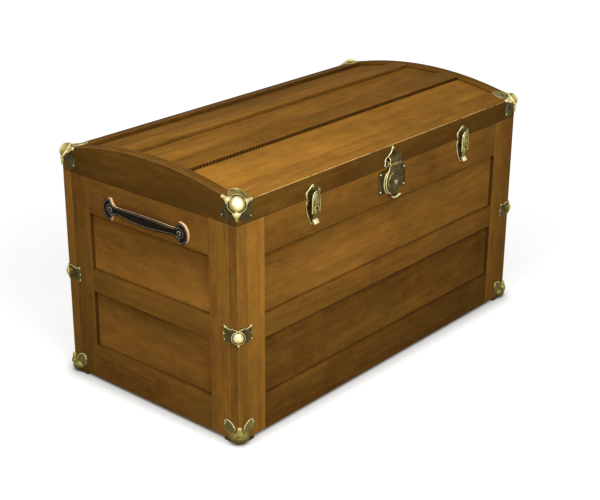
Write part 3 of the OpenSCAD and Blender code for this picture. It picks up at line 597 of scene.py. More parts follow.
# shapes for the metalwork
def smoothLine(points, steps=5, closed=True):  # a smooth run through the points; a point given twice is a corner
    count = len(points)
    line = []
    for i in range(count if closed else count - 1):
        before, here, there, after = (
            Vector(points[(i + k) % count if closed else max(0, min(count - 1, i + k))]) for k in (-1, 0, 1, 2)
        )
        if here == there:
            continue
        start = here if before == here else here + (there - before) / 6
        stop = there if after == there else there - (after - here) / 6
        line.extend(geometry.interpolate_bezier(here, start, stop, there, steps + 1)[:-1])
    if not closed:
        line.append(Vector(points[-1]))
    return line


def setRise(bm, rise):  # how far a part stands proud, for the patina; some parts are given more as a painted highlight
    layer = bm.verts.layers.float.get("rise") or bm.verts.layers.float.new("rise")
    for vert in bm.verts:
        vert[layer] = rise


def addPart(bm, part, place):  # puts a finished part into the piece, faces outwards
    bmesh.ops.transform(part, matrix=place, verts=part.verts)
    bmesh.ops.recalc_face_normals(part, faces=part.faces)
    mesh = meshOf(part)
    bm.from_mesh(mesh)
    bpy.data.meshes.remove(mesh)


def slab(outline, low, high):  # an outline in mm raised from low to high: the part and its top
    part = bmesh.new()
    part.verts.layers.float.new("rise")
    face = part.faces.new([part.verts.new((point[0] * mm, point[1] * mm, low * mm)) for point in outline])
    made = bmesh.ops.extrude_face_region(part, geom=[face])["geom"]
    top = next(item for item in made if isinstance(item, bmesh.types.BMFace))
    bmesh.ops.translate(part, verts=top.verts[:], vec=(0, 0, (high - low) * mm))
    return part, top


def plate(bm, outline, thick, place, rim=0.9, dish=0.5, ease=0.22, rise=(0.12, 0.85)):  # sheet with a raised rim
    part, top = slab(outline, 0, thick)
    bmesh.ops.inset_region(part, faces=[top], thickness=rim * mm, use_even_offset=True)
    bmesh.ops.translate(part, verts=top.verts[:], vec=(0, 0, -dish * mm))
    layer = part.verts.layers.float["rise"]
    for vert in part.verts:
        vert[layer] = rise[1] if vert.co.z > (thick - 0.1) * mm else rise[0]
    bmesh.ops.recalc_face_normals(part, faces=part.faces)
    soften(part, [e for e in part.edges if all(v.co.z > (thick - 0.05) * mm for v in e.verts)], ease * mm)
    addPart(bm, part, place)


def bar(bm, outline, low, high, place, ease=0.35, rise=0.5):  # an outline raised from low to high
    part, _ = slab(outline, low, high)
    bmesh.ops.recalc_face_normals(part, faces=part.faces)
    if ease:
        soften(part, [e for e in part.edges if e.calc_face_angle(0) > 0.6], ease * mm)
    setRise(part, rise)
    addPart(bm, part, place)


def turned(bm, profile, place, steps, rise):  # a turned part from (radius, height) points in mm
    part = bmesh.new()
    layer = part.verts.layers.float.new("rise")
    line = [part.verts.new((r * mm, 0, z * mm)) for r, z in profile]
    for vert, tone in zip(line, rise):
        vert[layer] = tone
    edges = [part.edges.new(pair) for pair in zip(line, line[1:])]
    bmesh.ops.spin(
        part, geom=line + edges, cent=(0, 0, 0), axis=(0, 0, 1), angle=math.tau, steps=steps, use_merge=True,
    )
    bmesh.ops.remove_doubles(part, verts=part.verts, dist=1e-6)
    addPart(bm, part, place)


def wireRun(bm, points, radius, place, rise=0.9):  # a raised rim: a round wire along the points, thin at its ends
    path = bpy.data.curves.new("run", "CURVE")
    path.dimensions = "3D"
    path.bevel_depth = radius * mm
    path.bevel_resolution = 2
    path.use_fill_caps = True
    spline = path.splines.new("POLY")
    last = len(points) - 1
    spline.points.add(last)
    for i, (spot, point) in enumerate(zip(spline.points, points)):
        spot.co = (*(Vector(point) * mm), 1)
        spot.radius = min(1, 0.35 + min(i, last - i) / max(1, last) * 6)
    holder = bpy.data.objects.new("run", path)
    mesh = bpy.data.meshes.new_from_object(holder)
    part = bmesh.new()
    part.from_mesh(mesh)
    bmesh.ops.remove_doubles(part, verts=part.verts, dist=1e-6)
    setRise(part, rise)
    bpy.data.objects.remove(holder)
    bpy.data.curves.remove(path)
    bpy.data.meshes.remove(mesh)
    addPart(bm, part, place)


def shift(x, y=0.0, z=0.0):  # a move in mm
    return Matrix.Translation((x * mm, y * mm, z * mm))


def axes(across, up, out, origin=(0, 0, 0)):  # a placing from its three directions
    return Matrix.Translation(origin) @ Matrix((across, up, out)).transposed().to_4x4()


def nailHeads(bm, spots, place, radius=1.3, lift=1.5):  # small and domed
    dome = [(radius * r, radius * z) for r, z in ((0.8, 0.38), (0.4, 0.58), (0, 0.64))]
    head = [(0, -0.4), (radius, -0.4), (radius, 0)] + dome
    for x, y in spots:
        turned(bm, head, place @ shift(x, y, lift), 12, (0.1, 0.3, 0.8, 1.0, 1.1, 1.1))


def halfRound(radius, height, steps):  # from pole to pole, for turning
    turn = [i * math.pi / steps for i in range(steps + 1)]
    return [(radius * math.sin(a), height * math.cos(a)) for a in turn]


def oblong(left, low, right, high):
    return [(left, low), (right, low), (right, high), (left, high)]


def mirrored(points):  # an outline from its left half, drawn from the bottom up to the middle of the top
    right = [(-point[0], *point[1:]) for point in reversed(points)]
    return points + (right[1:] if abs(points[-1][0]) < 0.01 else right)


def sideways(place):  # turns a drawing of (out, up) into a bar across the face
    return place @ Matrix(((0, 0, 1, 0), (0, 1, 0, 0), (1, 0, 0, 0), (0, 0, 0, 1)))


lowest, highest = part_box("front_stiles")
leftX, rightX, frontY = lowest[0], highest[0], lowest[1]
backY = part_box("back_stiles")[1][1]
lidSide = 39.5 * mm
caseHeights = {"bottom": lowest[2], "seam": highest[2], "lidEdge": highest[2] + lidSide}
slant = 1 / 2 ** 0.5
onFront = axes((1, 0, 0), (0, 0, 1), (0, -1, 0))
onEnd = axes((0, 1, 0), (0, 0, 1), (-1, 0, 0))
outOfCorner = axes((slant, -slant, 0), (0, 0, 1), (-slant, -slant, 0))
inPlace = Matrix.Identity(4)


def atSeam(x):  # a place on the front, with the seam of lid and case at Y = 0
    return Matrix.Translation((x * mm, frontY, caseHeights["seam"])) @ onFront


def copies(mesh, places):
    bm = bmesh.new()
    for place in places:
        part = bmesh.new()
        part.from_mesh(mesh)
        addPart(bm, part, place)
    return bm


def drawn(draw, places):  # a piece drawn anew in each place
    bm = bmesh.new()
    for place in places:
        draw(bm, place)
    return bm


def fourTimes(draw, height):  # one corner's metal, drawn as the left front one with the wood at +X and +Y
    single = bmesh.new()
    draw(single)
    mesh = meshOf(single)
    bm = copies(mesh, [
        Matrix.Translation((x, y, height)) @ Matrix.Diagonal((side, depth, 1, 1))
        for x, side in ((leftX, 1), (rightX, -1))
        for y, depth in ((frontY, 1), (backY, -1))
    ])
    bpy.data.meshes.remove(mesh)
    return bm


# edge clamps: bat-wing plates with a rimmed upper edge, a ring and a dome on the corner
clamp = {
    "thick": 1.5,
    "upper": [(-1.5, 13.7), (6, 14.0), (12, 14.0), (14.4, 12.4), (18, 11.8), (24, 12.5), (28, 14.3), (31.5, 16.6)],
    "outer": [
        (31.5, 16.6), (33.6, 12.6), (32.4, 8.6), (31.8, 5), (34.2, 0.4), (32.6, -4.4), (33.2, -8.6), (33.2, -11.6),
        (29.6, -13.6), (22, -14.4), (12, -13.2), (-1.5, -10.6),
    ],
    "height": 196.0,
    "domeRadius": 10.8,
    "domeInset": 3.3,
    "nails": [(29.8, 11.6), (31.4, 0.2), (30.4, -10.0)],
}


def drawClamp(bm):
    upper = smoothLine(clamp["upper"], 4, False)
    outer = smoothLine(clamp["outer"], 4, False)
    for face in (onFront, onEnd):
        plate(bm, upper + outer[1:], clamp["thick"], face, 0.9, 0.35, rise=(0.05, 0.32))
        wireRun(bm, [(x, y - 0.7, 1.5) for x, y in upper], 0.85, face, 0.85)
        wireRun(bm, [(x - 0.6, y, 1.3) for x, y in outer[:-8]], 0.5, face, 0.45)
        nailHeads(bm, clamp["nails"], face, 1.2, 1.2)
    ring = [
        (0, -11), (10, -11), (11.6, -0.4), (11.9, 0.4), (11.7, 1.0), (11.3, 1.2), (10.9, 0.8), (10.6, -0.4),
        (10.2, -1.8), (0, -1.8),
    ]
    turned(bm, ring, outOfCorner, 48, (0, 0, 0.3, 0.8, 0.95, 0.95, 0.6, 0.1, -0.1, -0.1))
    # the dome is painted brightest at its top, fading to its edge: a painted highlight
    dome = halfRound(clamp["domeRadius"], clamp["domeRadius"], 14)
    sunk = outOfCorner @ shift(0, 0, -clamp["domeInset"] / slant)
    turned(bm, dome, sunk, 40, [max(0.2, 1.15 - 0.1 * i) for i in range(15)])
    tab = [(0, -16.4), (1.2, -16.2), (1.7, -15.4), (1.7, -14), (1.6, -12), (1.6, -9), (0, -8)]
    turned(bm, tab, shift(0.3, 0.3), 20, (0.8, 0.9, 0.9, 0.8, 0.7, 0.5, 0.3))


clamps = fourTimes(drawClamp, caseHeights["bottom"] + clamp["height"] * mm)
brassPiece(clamps, "edgeClamps", "case", "edge_clamps")


# lid corner caps: a ball in a ring, three arms along the edges and three lobes
cap = {
    "thick": 1.5,
    "ballRadius": 14.0,
    "ballCentre": (7.1, 5.9, -4.2),
    "lobe": [
        (0, 0), (0, 0), (12, 2.4), (23.5, 3.4), (30.6, 7.6), (34.2, 15.0), (35.0, 23.5), (32.6, 31.2), (26.2, 34.8),
        (18.6, 34.4), (11.4, 30.2), (5.4, 23.5), (2.4, 12),
    ],
    "sideStretch": 1.05,
    "topStretch": 1.07,
    "frontNails": [(31.4, 27.2)],
    "endNails": [(31.4, 24.4)],
    "topNails": [(32.0, 32.0)],
    "armLengths": (1.02, 0.98, 0.81),
    "armDrops": (0.2, -1.6, -1.6),
    "tilt": 14.56,
    "lift": 0.22,
}


def drawLidCap(bm):
    tilt = math.radians(cap["tilt"])
    topDirection = Vector((0, math.cos(tilt), math.sin(tilt)))
    topNormal = Vector((0, -math.sin(tilt), math.cos(tilt)))
    front = axes((1, 0, 0), (0, 0, -1), (0, -1, 0))
    end = axes((0, 1, 0), (0, 0, -1), (-1, 0, 0))
    top = axes((1, 0, 0), topDirection, topNormal, (0, 0, cap["lift"] * mm))
    wide, large = cap["sideStretch"], cap["topStretch"]
    # the top lobe is painted paler and the end lobe darker than the front: painted light from above
    for face, across, along, nails, tone in (
        (front, wide, 1, cap["frontNails"], (0.02, 0.12)),
        (end, wide, 0.95, cap["endNails"], (-0.06, 0.06)),
        (top, large, large, cap["topNails"], (0.40, 0.62)),
    ):
        outline = smoothLine([(x * across, y * along) for x, y in cap["lobe"]], 4)
        plate(bm, outline, cap["thick"], face, 0.8, 0.3, rise=tone)
        rim = smoothLine([(x * across * 0.975, y * along * 0.975, 1.35) for x, y in cap["lobe"][4:11]], 4, False)
        wireRun(bm, rim, 0.4, face, tone[1] + 0.1)
        arc = [(12.6, 22.4, 1.6), (15.0, 19.4, 2.2), (17.2, 17.2, 2.4), (19.4, 15.0, 2.2), (22.4, 12.6, 1.6)]
        wireRun(bm, smoothLine([(x * across, y * along, z) for x, y, z in arc], 5, False), 0.9, face, tone[0] + 0.12)
        nailHeads(bm, nails, face, 1.25, 1.2)
    out = Vector((-1, -1, 1)).normalized()
    side = Vector((1, -1, 0)).normalized()
    radius = cap["ballRadius"]
    centre = Vector(cap["ballCentre"]) * mm
    ballPlace = axes(side, out.cross(side), out, centre)
    ring = [
        (0, -7), (10.5, -7), (13.4, -1.5), (15.0, 0.6), (15.9, 2.0), (15.9, 3.2), (15.4, 3.8), (14.8, 3.5),
        (14.4, 1.2), (0, 1.2),
    ]
    turned(bm, ring, ballPlace, 56, (0, 0, 0.3, 0.75, 1.0, 1.0, 0.9, 0.2, -0.1, -0.1))
    # the ball is brightest at its pole and darker towards the ring: a painted highlight
    ball = halfRound(radius, radius, 24)
    turned(bm, ball, ballPlace, 48, [max(0.2, min(1.3, 1.55 - 0.12 * i)) for i in range(25)])
    profile = [
        (0, 12), (2.2, 14), (3.4, 16), (4.0, 18), (4.2, 19.5), (3.9, 21.5), (3.4, 24), (2.9, 27), (2.6, 29.5),
        (2.9, 31.8), (3.1, 33.2), (2.4, 34.2), (0, 34.6),
    ]
    flare = [
        (0, 13.0), (4.0, 14.6), (6.4, 16.4), (7.4, 18.2), (6.9, 20.2), (5.5, 22.4), (4.2, 25), (3.2, 28), (0, 29),
    ]
    tones = (0.7, 0.8, 0.9, 0.95, 0.95, 0.9, 0.85, 0.8, 0.8, 0.85, 0.95, 1.05, 1.05)
    ways = (Vector((1, 0, 0)), topDirection, Vector((0, 0, -1)))
    outwards = (Vector((0, -1, 1)), Vector((-1, 0, 1)), Vector((-1, -1, 0)))
    for direction, length, drop, away in zip(ways, cap["armLengths"], cap["armDrops"], outwards):
        away = (away - direction * away.dot(direction)).normalized()
        start = away * -0.6 * mm + Vector((0, 0, drop * mm))
        place = axes(away, direction.cross(away), direction, start) @ Matrix.Diagonal((1, 1, length, 1))
        fade = 0.06 if direction.z < -0.5 else 0  # the arm that points down gets darker to its end
        turned(bm, profile, place, 24, [tone - fade * max(0, i - 4) for i, tone in enumerate(tones)])
        turned(bm, flare, place @ shift(-1.0) @ Matrix.Diagonal((0.46, 1, 1, 1)), 24,
               (0.4, 0.6, 0.8, 0.9, 0.9, 0.88, 0.85, 0.8, 0.7))


brassPiece(fourTimes(drawLidCap, caseHeights["lidEdge"]), "lidCornerCaps", "lid", "lid_corner_caps")


# base corner caps: two leaf wings, a rib up the corner, a fold and a round toe
foot = {
    "thick": 1.5,
    "sole": 5.5,
    "lower": [
        (-1.5, 14.7), (-1.5, 14.7), (-1.5, -1.5), (-1.5, -1.5), (19, -1.5), (19, -1.5), (21, 4), (23, 8.7),
        (28, 11), (33.5, 14), (35.3, 20), (35.6, 27),
    ],
    "upper": [
        (35.6, 27), (34.2, 31.5), (32.4, 34.4), (29, 35.7), (24.7, 35.7), (19, 33.6), (13, 28.6), (9.6, 24),
        (8.4, 18), (7, 16), (-1.5, 14.7),
    ],
    "nails": [(30.4, 30.6), (32.4, 26.4)],
    "fold": [(0, 15.6, 5.8), (3.4, 14.8, 5.2), (7.0, 12.6, 3.4), (10.0, 10.6, 1.0), (13.0, 10.4, -2.0)],
    "bodyRadius": 17.0,
    "bodyHeight": 12.5,
    "bodyCentre": (8.6, 8.6, 5.5),
    "toeRadius": 12.6,
    "toeHeight": 6.2,
    "toeCentre": (5.4, 5.4, 6.2),
}


def drawFoot(bm):
    lower = smoothLine(foot["lower"], 3, False)
    upper = smoothLine(foot["upper"], 4, False)
    rim = smoothLine([(x * 0.97, y * 0.985, 1.5) for x, y in foot["upper"][:9]], 5, False)
    for face in (onFront, onEnd):
        plate(bm, lower[:-1] + upper[:-1], foot["thick"], face, 0.8, 0.3, rise=(0.30, 0.36))
        wireRun(bm, rim, 0.8, face, 0.85)
        nailHeads(bm, foot["nails"], face, 1.25, 1.2)
    nose = [
        (0, 12), (6.0, 13.4), (6.9, 15), (6.2, 17), (5.2, 19.5), (4.5, 23), (4.0, 26.6), (3.4, 28.6), (2.0, 29.5),
        (0, 29.7),
    ]
    turned(bm, nose, inPlace, 28, (0.3, 0.4, 0.55, 0.55, 0.55, 0.55, 0.6, 0.65, 0.65, 0.65))
    for side in (-1, 1):
        fold = [(side * x, y, z) for x, y, z in foot["fold"]]
        wireRun(bm, smoothLine(fold, 4, False), 1.3, outOfCorner, 0.45)
    # a painted highlight in a band round the toe's upper shoulder
    toe = halfRound(foot["toeRadius"], foot["toeHeight"], 16)
    turned(bm, toe, shift(*foot["toeCentre"]), 40, [-0.1, -0.1, 0.0, 0.3, 0.6, 0.65, 0.5, 0.3] + [0.15] * 9)
    part = bmesh.new()
    body = halfRound(foot["bodyRadius"], foot["bodyHeight"], 20)
    turned(part, body, shift(*foot["bodyCentre"]), 48, [0.44] * 8 + [0.36, 0.28, 0.18] + [0.05] * 10)
    cutAcross(part, (0, 0, -foot["sole"] * mm), (0, 0, -1), close=True)
    addPart(bm, part, inPlace)
    sole = [
        (-0.4, 4), (-0.4, 4), (4, -0.4), (4, -0.4), (34, -1.2), (34, -1.2), (35.6, 1), (33, 5), (23, 7.5), (13, 13),
        (7.5, 23), (5, 33), (1, 35.6), (-1.2, 34), (-1.2, 34),
    ]
    bar(bm, smoothLine(sole, 3), -foot["sole"], -0.05, inPlace, 0.5, 0.0)


brassPiece(fourTimes(drawFoot, caseHeights["bottom"]), "baseCornerCaps", "case", "base_corner_caps")
print("corner metalwork made")


# draw bolts: a catch on the lid; a plate, a lever and a round-topped tongue on the case
drawbolt = {
    "at": 221.0,
    "catch": [
        (-16.8, 1.6), (-16.8, 1.6), (-18.5, 6.5), (-19.3, 10.8), (-18.4, 13.4), (-12.2, 17.0), (-6.6, 21.0),
        (-3.6, 23.3), (0, 24.0),
    ],
    "plate": [
        (0, -47.8), (-4.6, -46.2), (-8.0, -42), (-11.4, -36.4), (-14.6, -29.6), (-17.2, -21), (-19.0, -12),
        (-19.4, -6.6), (-17.6, -3), (-13.6, -2.1),
    ],
    "tongue": [
        (-11.4, -25.3), (-11.4, -25.3), (-10.9, -12), (-10.1, 0), (-9.7, 4.6), (-7.6, 9.2), (-4.2, 12.0), (0, 12.8),
    ],
    "slot": 5.7,
    "slotHeight": -20.7,
    "front": 7.1,
    "lever": [
        (2.4, -7), (5.2, -5.9), (6.8, -7.4), (6.6, -12), (6.0, -17), (5.9, -27), (5.8, -34), (6.0, -38), (2.6, -38),
        (1.9, -18),
    ],
    "lip": [(3.0, -38.2), (4.6, -37.2), (6.6, -37.4), (8.4, -39.6), (10.6, -43.6), (9.7, -45.4)],
    "leverWidth": 9.0,
    "lipWidth": 11.6,
    "knob": 5.1,
}


def drawCatch(bm, place):
    outline = mirrored(smoothLine(drawbolt["catch"], 4, False))
    plate(bm, outline, 1.5, place, 1.0, 0.4, rise=(0.10, 0.40))
    half = len(outline) // 2
    # the left rim is painted bright and the right one dim: painted light from the left
    wireRun(bm, [(x * 0.96, y * 0.975 + 0.1, 1.5) for x, y in outline[:half + 2]], 0.95, place, 1.0)
    wireRun(bm, [(x * 0.97, y * 0.975, 1.3) for x, y in outline[half:]], 0.55, place, 0.35)
    bar(bm, oblong(-7, 5, 7, 8), 1.0, 2.4, place, 0.4, 0.4)
    nailHeads(bm, ((0, 19.4), (-15.4, 10.4), (15.4, 10.4)), place, 1.35, 1.2)


def drawBoltPlate(bm, place):
    outline = mirrored(smoothLine(drawbolt["plate"], 3, False)[::-1])[1:]
    plate(bm, outline, 1.5, place, 1.0, 0.4, rise=(0.02, 0.30))
    left = smoothLine([(x * 0.96, y, 1.45) for x, y in drawbolt["plate"]], 4, False)
    # the left rim is painted bright and the right one dim: painted light from the left
    wireRun(bm, left, 0.85, place, 0.8)
    wireRun(bm, [(-x, y, z - 0.2) for x, y, z in left], 0.55, place, 0.25)
    nailHeads(bm, ((-15.8, -7), (15.8, -7), (0, -45.6)), place, 1.3, 1.2)
    ear = [(1.4, -10.3), (4.6, -10.4), (6.2, -9.6), (6.9, -8), (6.2, -6.4), (4.6, -5.6), (1.4, -5.7)]
    for side in (-1, 1):
        bar(bm, ear, -0.75, 0.75, sideways(place @ shift(side * 6.4)), 0.2, 0.4)


def drawTongue(bm, place):
    outer = smoothLine(drawbolt["tongue"], 4, False)
    slot, height, front = drawbolt["slot"], drawbolt["slotHeight"], drawbolt["front"]
    turn = [i * math.pi / 16 for i in range(17)]
    notch = [(slot, -25.3)] + [(slot * math.cos(a), height + slot * math.sin(a)) for a in turn] + [(-slot, -25.3)]
    plate(bm, mirrored(outer) + notch, 1.4, place @ shift(0, 0, front), 0.9, 0.35, 0.2, (0.30, 0.55))
    left = [(x * 0.93, y * 0.98, front + 1.25) for x, y in outer]
    # the left rim is painted bright and the right one dimmer: painted light from the left
    wireRun(bm, left + [(4.0, 11.6, front + 1.2)], 1.0, place, 1.0)
    wireRun(bm, [(-x, y, z - 0.2) for x, y, z in left], 0.8, place, 0.62)
    for side in (-1, 1):
        wall = [(side * 11.3, -25.3), (side * 10.0, -25.3), (side * 8.7, 2.7), (side * 10.0, 2.7)]
        bar(bm, wall if side > 0 else wall[::-1], 2.0, front + 0.1, place, 0, -0.12)
    arch = [(x, y) for x, y in mirrored(outer) if y > 2.4]
    bar(bm, arch + [(x * 0.86, y * 0.88) for x, y in arch[::-1]], 5.4, front + 0.1, place, 0, 0.05)
    rib = smoothLine([(-5.9, -10.8), (-5.9, -10.8), (-5.8, -2), (-5.5, 4), (-3.6, 7.4), (0, 8.7)], 4, False)
    bar(bm, mirrored(rib), front + 1.0, front + 2.0, place, 0.3, 0.42)
    # a painted highlight along the left and top of the rib
    wireRun(bm, [(x * 0.94, y * 0.97, front + 1.9) for x, y in mirrored(rib) if x < 3 and y > -3], 0.75, place, 1.0)
    arc = [(7.0 * math.cos(a), height + 0.4 + 7.0 * math.sin(a), front + 1.5) for a in turn[1:-1]]
    wireRun(bm, [(-7.2, -24.4, front + 1.4)] + arc[::-1] + [(7.2, -24.4, front + 1.4)], 0.9, place, 0.72)


def drawLever(bm, place):
    side = sideways(place)
    wide, lip = drawbolt["leverWidth"] / 2, drawbolt["lipWidth"] / 2
    bar(bm, drawbolt["lever"], -wide, wide, side, 0.5, 0.30)
    bar(bm, drawbolt["lip"], -lip, lip, side, 0.35, 1.0)
    radius = drawbolt["knob"]
    knob = halfRound(radius, radius, 20)[:11] + [(radius - 0.3, -1.6), (0, -1.6)]
    knuckle = place @ shift(0, -23.0, 4.45) @ Matrix.Diagonal((1, 1.3, 0.96, 1))
    turned(bm, knob, knuckle, 28, [0.5, 0.5, 0.55, 0.6, 0.6, 0.55, 0.5, 0.5, 0.4, 0.3, 0.2, 0.1, 0.1])


for side, name in ((-1, "left"), (1, "right")):
    place = atSeam(side * drawbolt["at"])
    for draw, piece, body, node in (
        (drawCatch, "DrawboltCatch", "lid", "_drawbolt_catch"),
        (drawBoltPlate, "DrawboltPlate", "case", "_drawbolt_plate"),
        (drawTongue, "DrawboltTongue", name + "_tongue", "_drawbolt_tongue"),
        (drawLever, "DrawboltLever", name + "_lever", "_drawbolt_lever"),
    ):
        brassPiece(drawn(draw, [place]), name + piece, body, name + node)
print("draw bolts made")


# lock on the case, hasp plate and hasp on the lid
lock = {
    "half": 39.0,
    "low": -47.5,
    "high": -4.0,
    "corner": 4.0,
    "nails": [(-34.6, -9.2), (34.6, -9.2), (-34.6, -42.6), (34.6, -42.6)],
    "drum": (0, -28.5),
    "drumRadius": 28.0,
    "drumHeight": 3.4,
    "drumLow": -48.8,
}


def rounded(left, low, right, high, radius, steps=5):  # a rectangle with round corners
    points = []
    corners = oblong(right - radius, high - radius, left + radius, low + radius)
    for i, (x, y) in enumerate(corners):
        turn = [(i + k / steps) * math.pi / 2 for k in range(steps + 1)]
        points += [(x + radius * math.cos(a), y + radius * math.sin(a)) for a in turn]
    return points


def ringArc(centre, radius, start, stop, height, steps=24):  # part of a circle, angles in degrees
    turn = [math.radians(start + (stop - start) * i / steps) for i in range(steps + 1)]
    return [(centre[0] + radius * math.cos(a), centre[1] + radius * math.sin(a), height) for a in turn]


def drawLock(bm, place):
    half, low, high = lock["half"], lock["low"], lock["high"]
    outline = rounded(-half, low, half, high, lock["corner"])
    plate(bm, outline, 1.5, place, 1.0, 0.35, rise=(-0.08, 0.08))
    # the left rim is painted brighter than the right and bottom ones: painted light from the left
    wireRun(bm, [(-half + 0.9, low + 3.4, 1.4), (-half + 0.9, high - 3.4, 1.4)], 0.7, place, 0.4)
    wireRun(bm, [(half - 0.9, low + 3.4, 1.3), (half - 0.9, high - 3.4, 1.3)], 0.5, place, 0.05)
    wireRun(bm, [(-half + 3.4, low + 0.9, 1.3), (half - 3.4, low + 0.9, 1.3)], 0.5, place, 0.15)
    nailHeads(bm, lock["nails"], place, 1.7, 1.3)
    (x, y), radius, top = lock["drum"], lock["drumRadius"], lock["drumHeight"]
    drum = bmesh.new()
    profile = [
        (0, 0.2), (radius, 0.2), (radius, top - 1.6), (radius - 0.5, top - 0.9), (radius - 1.6, top - 0.2),
        (radius - 3, top - 0.1), (radius - 4, top - 0.9), (0, top - 0.9),
    ]
    turned(drum, profile, shift(x, y), 96, (0.0, 0.0, 0.1, 0.2, 0.2, 0.1, -0.1, -0.1))
    # a painted highlight: a bright crescent on the drum's left side
    wireRun(drum, ringArc((x, y), radius - 1.4, 128, 236, top - 0.2), 0.9, inPlace, 0.95)
    cutAcross(drum, (0, high * mm, 0), (0, 1, 0), close=True)
    cutAcross(drum, (0, lock["drumLow"] * mm, 0), (0, -1, 0), close=True)
    addPart(bm, drum, place)


hasp = {
    "plate": [
        (0, 37.8), (-2.6, 37.2), (-4.3, 34.8), (-4.4, 31.4), (-6.6, 27.4), (-11.0, 24.0), (-16.4, 21.2),
        (-21.4, 18.8), (-24.4, 16.2), (-24.9, 13.2), (-23.2, 10.4), (-24.8, 7.4), (-23.8, 4.4), (-19.4, 1.9),
        (-17.5, 1.8),
    ],
    "plateNails": [(0, 33.4), (-21.0, 13.4), (21.0, 13.4)],
    "housing": [(1.4, 21.6), (2.2, 21.0), (6.2, 17.8), (7.9, 15.8), (8.2, 10.2), (7.4, 9.0), (1.4, 9.0)],
    "housingHalf": 16.0,
    "pivot": (6.5, 5.5),
    "barrel": 3.2,
    "back": 4.0,
    "radius": 25.0,
    "neck": [(-14.6, 4.2), (-14.6, 4.2), (-14.9, 0), (-16.6, -5), (-20.0, -11), (-23.4, -18.5)],
    "dome": (16.5, 4.0),
    "boss": 3.7,
    "lip": (-46.6, 8.8, 11.4, 11.4),
    "lipStretch": 1.5,
    "lipTop": -53.4,
    "staple": [(-19, -16.4, -8.0, 4.4), (-11.6, -9, -8.0, 4.4), (-19, -9, -8.0, -7.0), (-17, -11, -2.2, 4.4)],
}


def drawHaspPlate(bm, place):
    left = smoothLine(hasp["plate"][::-1], 4, False)
    plate(bm, mirrored(left), 1.5, place, 0.9, 0.4, rise=(-0.10, 0.2))
    # the left rim is painted bright and the right one dim: painted light from the left
    wireRun(bm, [(x * 0.965, y - 0.4, 1.5) for x, y in left], 0.95, place, 1.0)
    wireRun(bm, [(-x * 0.965, y - 0.4, 1.3) for x, y in left], 0.6, place, 0.3)
    nailHeads(bm, hasp["plateNails"], place, 1.6, 1.3)
    half = hasp["housingHalf"]
    side = sideways(place)
    bar(bm, hasp["housing"], -half, half, side, 0.6, 0.02)
    # a painted highlight along the housing's left end
    wireRun(bm, [(-half + 0.5, 9.4, 7.6), (-half + 0.5, 16.0, 7.4), (-half + 0.5, 20.0, 3.2)], 1.0, place, 0.95)
    wireRun(bm, [(-half + 0.8, 15.8, 7.6), (half - 0.8, 15.8, 7.6)], 0.6, place, 0.4)
    ear = [(1.4, 2.6), (4.6, 2.6), (7.6, 2.7), (9.3, 4.4), (9.4, 6.4), (8.4, 8.4), (7.4, 11.4), (1.4, 11.4)]
    # the left ear is painted brighter than the right one: painted light from the left
    for way in (-1, 1):
        bar(bm, ear, way * 16.2 - 0.8, way * 16.2 + 0.8, side, 0.3, 0.85 if way < 0 else 0.35)


